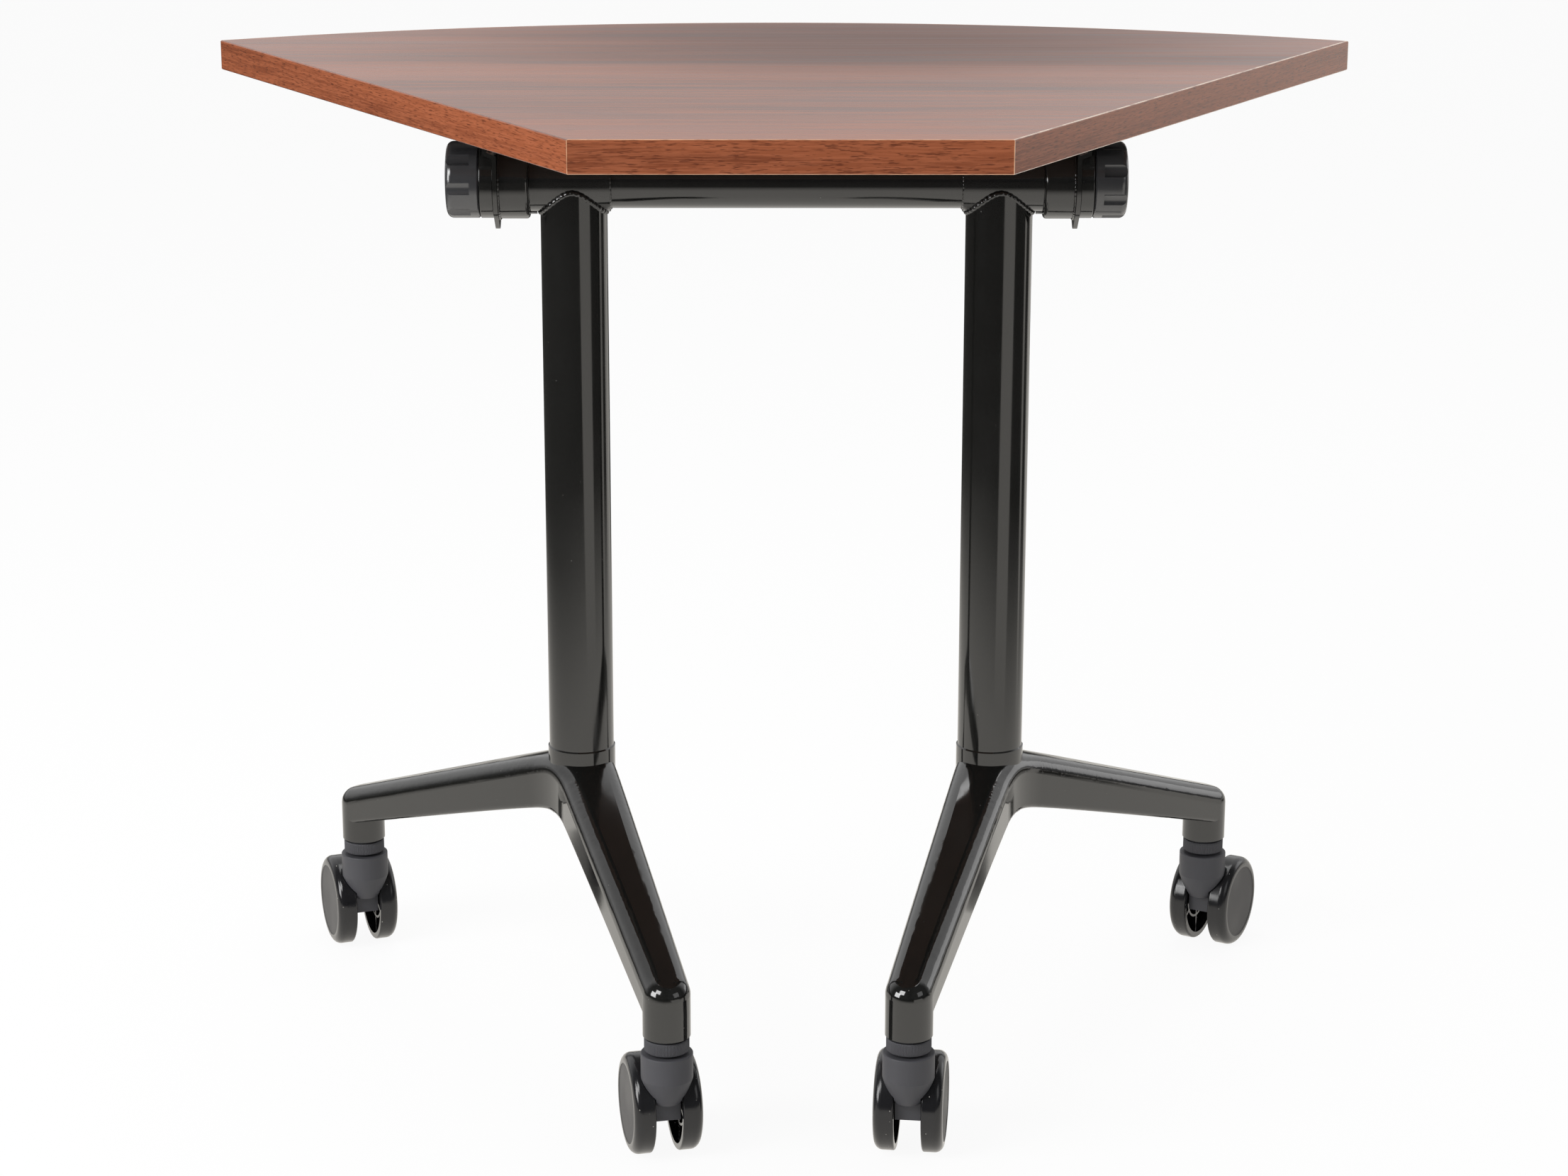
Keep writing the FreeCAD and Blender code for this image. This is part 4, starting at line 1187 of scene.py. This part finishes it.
@dataclass
class Clamp:
    """Thrust ring, knob and spindle at one end of the beam."""

    side: Side

    def build(self) -> None:
        """Dresses the nodes."""
        name = self.side.value
        dress_node(f"thrust_ring_{name}", GLOSS_BLACK)
        dress_node(f"knob_{name}", KNOB_BLACK)
        dress_node(f"knob_spindle_{name}", ZINC)


@dataclass
class Foot:
    """Cast foot under one column."""

    side: Side

    def build(self) -> None:
        """Dresses the casting."""
        dress_node(f"foot_{self.side.value}", CAST_BLACK)


@dataclass
class Caster:
    """One swivel caster: knurled stem, housing, axle, wheels and caps."""

    place: Place
    ridges: int = 96
    ridge_depth: float = 0.35 * MM
    ridge_points: int = 4
    ridge_rows: int = 6
    collar: tuple[float, float] = (89 * MM, 98.5 * MM)
    collar_radius: float = 16.5 * MM
    neck_radius: float = 14 * MM
    neck_height: float = 2 * MM
    pin_radius: float = 5.5 * MM
    stud_radius: float = 6 * MM
    bevel: float = 0.6 * MM
    crease: float = 35.0

    def build(self) -> None:
        """Dresses the nodes and makes the knurled stem."""
        name = self.place.value
        dress_node(f"caster_housing_{name}", CASTER_GREY)
        dress_node(f"caster_axle_{name}", ZINC)
        for letter in "ab":
            dress_node(f"wheel_{name}_{letter}", WHEEL_BLACK)
            dress_node(f"wheel_cap_{name}_{letter}", CAP_GREY)
        self.add_stem()

    def add_stem(self) -> None:
        """Stem with a knurled collar that stands for the plain CAD stem.

        The surface turns a profile of radius and height about the stem's axis. Between the collar's
        bevels the radius goes in and out round the axis by the size of a sine, once for each ridge.
        """
        name = f"caster_stem_{self.place.value}"
        low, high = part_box(name)
        centre = middle(name)
        foot, crown = self.collar
        pin, stud = self.pin_radius, self.stud_radius
        boss = crown + self.neck_height
        wide, cut = self.collar_radius, self.bevel
        knurled = [(wide, height) for height in np.linspace(foot + cut, crown - cut, self.ridge_rows)]
        below = [(0, low.z), (pin, low.z), (pin, foot), (wide - cut, foot)]
        neck = [(wide - cut, crown), (self.neck_radius, crown), (self.neck_radius, boss)]
        above = [(stud, boss), (stud, high.z), (0, high.z)]
        profile = np.array(below + knurled + neck + above)
        depth = np.zeros(len(profile))
        depth[len(below) : len(below) + len(knurled)] = self.ridge_depth
        turn = np.linspace(0, 2 * np.pi, self.ridges * self.ridge_points, endpoint=False)
        groove = 1 - np.abs(np.sin(turn * self.ridges / 2))
        radius = profile[:, :1] - depth[:, None] * groove
        height = np.repeat(profile[:, 1:], len(turn), axis=1)
        axes = upright((centre[0], centre[1], 0))
        points = axes.place(radius * np.cos(turn), radius * np.sin(turn), height)
        faces = grid_faces(*points.shape[:2], False, True)
        piece = make_piece(f"knurled_{name}", points, faces, self.crease)
        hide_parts(name)
        finish_piece(piece, "base", CASTER_GREY)


@dataclass
class Fittings:
    """Small hidden pieces: bushes, pins, plugs and bolts."""

    steel: tuple[str, ...] = ("stop_pins", "column_plugs", "foot_bolts", "beam_nuts")

    def build(self) -> None:
        """Dresses the nodes."""
        dress_node("cross_beam", GLOSS_BLACK)
        dress_node("hinge_bushes", NYLON)
        for node in self.steel:
            dress_node(node, ZINC)


# Studio


@dataclass(frozen=True)
class Slope:
    """A smooth step: the span that it takes and the levels before and after it."""

    span: tuple[float, float]
    levels: tuple[float, float]

    def over(self, build: Tree, value: Any) -> Any:
        """The step over a value, as a socket."""
        return build.ramp(value, *self.span, *self.levels)


@dataclass(frozen=True)
class Lamp:
    """A square soft lamp that faces a point, with its size in metres and its power in watts."""

    name: str
    at: Point
    target: Point
    size: float
    power: float

    def add(self) -> None:
        """Puts the lamp into the scene."""
        data = bpy.data.lights.new(self.name, "AREA")
        data.size = self.size
        data.energy = self.power
        lamp = bpy.data.objects.new(self.name, data)
        lamp.location = self.at
        way = Vector(self.target) - Vector(self.at)
        lamp.rotation_euler = way.to_track_quat("-Z", "Y").to_euler()
        bpy.context.scene.collection.objects.link(lamp)


@dataclass
class Studio:
    """Pale floor, soft lamps and the camera of the photograph."""

    camera_at: Point = (-0.02015, -2.6165, 1.1101)
    lens: float = 81.43
    sensor: float = 36.0
    sight: float = 200.0
    yaw: float = 0.406
    tilt: float = 15.82
    roll: float = -0.09
    floor_half: float = 30.0
    floor_colour: tuple[float, float, float, float] = (0.9, 0.9, 0.9, 1.0)
    sky: float = 0.45
    white_share: float = 0.93
    pool: tuple[float, float] = (0.6, 1.9)
    panels: tuple[tuple[float, float], ...] = ((16.0, 57.0), (97.0, 109.0), (124.0, 158.0))
    panel_level: float = 0.85
    panel_soft: float = 0.05
    far_panel: tuple[float, float] = (106.0, 130.0)
    far: tuple[float, float] = (4.0, 5.0)
    dim: float = 0.07
    warm: tuple[float, float, float, float] = (1.0, 0.965, 0.9, 1.0)
    wall: float = 0.88
    wall_at: tuple[float, float] = (0.0, 0.6)
    lean: Slope = Slope((-0.6, 0.6), (0.9, 1.1))
    gap: Slope = Slope((0.0, 0.28), (0.7, 1.05))
    rise: Slope = Slope((0.04, 0.22), (0.6, 1.25))
    lamps: tuple[Lamp, ...] = (
        Lamp("key", (-1.4, -1.6, 2.0), (-0.1, 0.0, 0.6), 1.0, 25.0),
        Lamp("left", (-3.0, -1.7, 1.5), (-0.2, 0.0, 0.7), 1.6, 71.0),
        Lamp("fill", (2.3, -2.0, 1.7), (0.0, 0.0, 0.5), 1.4, 6.0),
        Lamp("top", (0.2, 0.8, 3.2), (0.0, 0.0, 0.5), 2.0, 32.0),
        Lamp("rim", (2.9, 1.5, 1.1), (0.2, 0.0, 0.7), 1.3, 5.0),
    )

    def build(self) -> None:
        """Makes the camera, the floor, the world and the lamps."""
        self.add_camera()
        self.add_floor()
        self.light_world()
        for lamp in self.lamps:
            lamp.add()
        bpy.context.scene.view_settings.view_transform = "Standard"

    def add_camera(self) -> None:
        """Camera at the photograph's place, turned by yaw, tilt and roll."""
        yaw, tilt, roll = (math.radians(a) for a in (self.yaw, self.tilt, self.roll))
        ahead = Vector(
            (math.sin(yaw) * math.cos(tilt), math.cos(yaw) * math.cos(tilt), -math.sin(tilt))
        )
        right = Vector((math.cos(yaw), -math.sin(yaw), 0.0))
        down = ahead.cross(right)
        across = right * math.cos(roll) + down * math.sin(roll)
        lower = down * math.cos(roll) - right * math.sin(roll)
        data = bpy.data.cameras.new("photo_camera")
        data.lens = self.lens
        data.sensor_width = self.sensor
        data.clip_end = self.sight
        camera = bpy.data.objects.new("photo_camera", data)
        turn = Matrix((across, -lower, -ahead)).transposed().to_4x4()
        camera.matrix_world = Matrix.Translation(Vector(self.camera_at)) @ turn
        bpy.context.scene.collection.objects.link(camera)
        bpy.context.scene.camera = camera

    def add_floor(self) -> None:
        """Wide floor: white with a faint shadow to the camera, and lit near the desk in gloss."""
        half = self.floor_half
        points = np.array([(-half, -half, 0), (half, -half, 0), (half, half, 0), (-half, half, 0)])
        mesh = bpy.data.meshes.new("floor")
        mesh.from_pydata(points.tolist(), [], [(0, 1, 2, 3)])
        floor = bpy.data.objects.new("floor", mesh)
        bpy.context.scene.collection.objects.link(floor)
        made = bpy.data.materials.new("pale_floor")
        made.use_nodes = True
        made.node_tree.nodes.clear()
        build = Tree(made.node_tree)
        camera, gloss = self.eyes(build)
        shown = build.math("ADD", camera, build.math("MULTIPLY", gloss, self.floor_in_gloss(build)))
        matt = build.add("ShaderNodeBsdfDiffuse", {"Color": self.floor_colour})
        tint = build.mix(camera, self.warm, WHITE)
        glow = build.add("ShaderNodeEmission", {"Color": tint, "Strength": shown})
        share = build.math("ADD", build.math("MULTIPLY", camera, self.white_share), gloss)
        mixed = build.add(
            "ShaderNodeMixShader", {0: share, 1: matt.outputs[0], 2: glow.outputs[0]}
        )
        end = build.add("ShaderNodeOutputMaterial")
        build.tree.links.new(mixed.outputs[0], end.inputs["Surface"])
        mesh.materials.append(made)

    @staticmethod
    def eyes(build: Tree) -> tuple[Any, Any]:
        """Tells rays apart by Light Path.

        Args:
            build: the tree that asks.

        Returns:
            Sockets that are 1 for camera rays, and for glossy or transmission rays.
        """
        path = build.add("ShaderNodeLightPath").outputs
        gloss = build.math("MAXIMUM", path["Is Glossy Ray"], path["Is Transmission Ray"])
        camera = path["Is Camera Ray"]
        return camera, build.math("MULTIPLY", gloss, build.math("SUBTRACT", 1.0, camera))

    def floor_in_gloss(self, build: Tree) -> Any:
        """Brightness of the floor in reflections: a lit pool and the panels that stand round it.

        Args:
            build: the floor's tree.

        Returns:
            The brightness socket.
        """
        place = build.add("ShaderNodeTexCoord").outputs["Object"]
        parts = build.add("ShaderNodeSeparateXYZ", {0: place}).outputs
        away = build.add("ShaderNodeVectorMath", {0: place}, operation="LENGTH").outputs["Value"]
        angle = build.math("ARCTAN2", parts[0], build.math("MULTIPLY", parts[1], -1.0))
        bright = build.ramp(away, *self.pool, 1.0, 0.0)
        for span in self.panels:
            bright = build.math("MAXIMUM", bright, self.panel(build, angle, span))
        far = self.panel(build, angle, self.far_panel)
        far = build.math("MULTIPLY", far, build.ramp(away, *self.far))
        return build.math("ADD", build.math("MAXIMUM", bright, far), self.dim, True)

    def panel(self, build: Tree, angle: Any, span: tuple[float, float]) -> Any:
        """Brightness of a panel that stands between two angles, with soft sides.

        Args:
            build: the floor's tree.
            angle: socket of the angle about the desk.
            span: first and last angle in degrees.

        Returns:
            The brightness socket.
        """
        first, last = math.radians(span[0]), math.radians(span[1])
        rise = build.ramp(angle, first, first + self.panel_soft, 0.0, self.panel_level)
        fall = build.ramp(angle, last - self.panel_soft, last, 1.0, 0.0)
        return build.math("MULTIPLY", rise, fall)

    def light_world(self) -> None:
        """Surroundings: white to the camera, brighter behind the desk in gloss, soft light on the rest."""
        world = bpy.data.worlds.new("studio")
        world.use_nodes = True
        world.node_tree.nodes.clear()
        build = Tree(world.node_tree)
        camera, gloss = self.eyes(build)
        ahead = build.add("ShaderNodeTexCoord").outputs["Generated"]
        parts = build.add("ShaderNodeSeparateXYZ", {0: ahead}).outputs
        behind = build.ramp(parts[1], *self.wall_at, self.dim, self.wall)
        aside = build.math("ABSOLUTE", parts[0])
        for slope, value in ((self.lean, parts[0]), (self.gap, aside), (self.rise, parts[2])):
            behind = build.math("MULTIPLY", behind, slope.over(build, value))
        behind = build.math("MINIMUM", behind, 1.0)
        plain = build.math("SUBTRACT", 1.0, build.math("ADD", camera, gloss))
        strength = build.math("ADD", camera, build.math("MULTIPLY", gloss, behind))
        strength = build.math("ADD", strength, build.math("MULTIPLY", plain, self.sky))
        back = build.add("ShaderNodeBackground", {"Color": WHITE, "Strength": strength})
        end = build.add("ShaderNodeOutputWorld")
        build.tree.links.new(back.outputs[0], end.inputs["Surface"])
        bpy.context.scene.world = world


def main() -> None:
    """Builds the studio and dresses every assembly of the desk."""
    logging.basicConfig(level=logging.INFO, format="%(message)s")
    Studio().build()
    Worktop().build()
    Fittings().build()
    BracketScrews().build()
    for side in Side:
        HingeHead(side).build()
        Clamp(side).build()
        Foot(side).build()
    for place in Place:
        Caster(place).build()


if __name__ == "__main__":
    main()
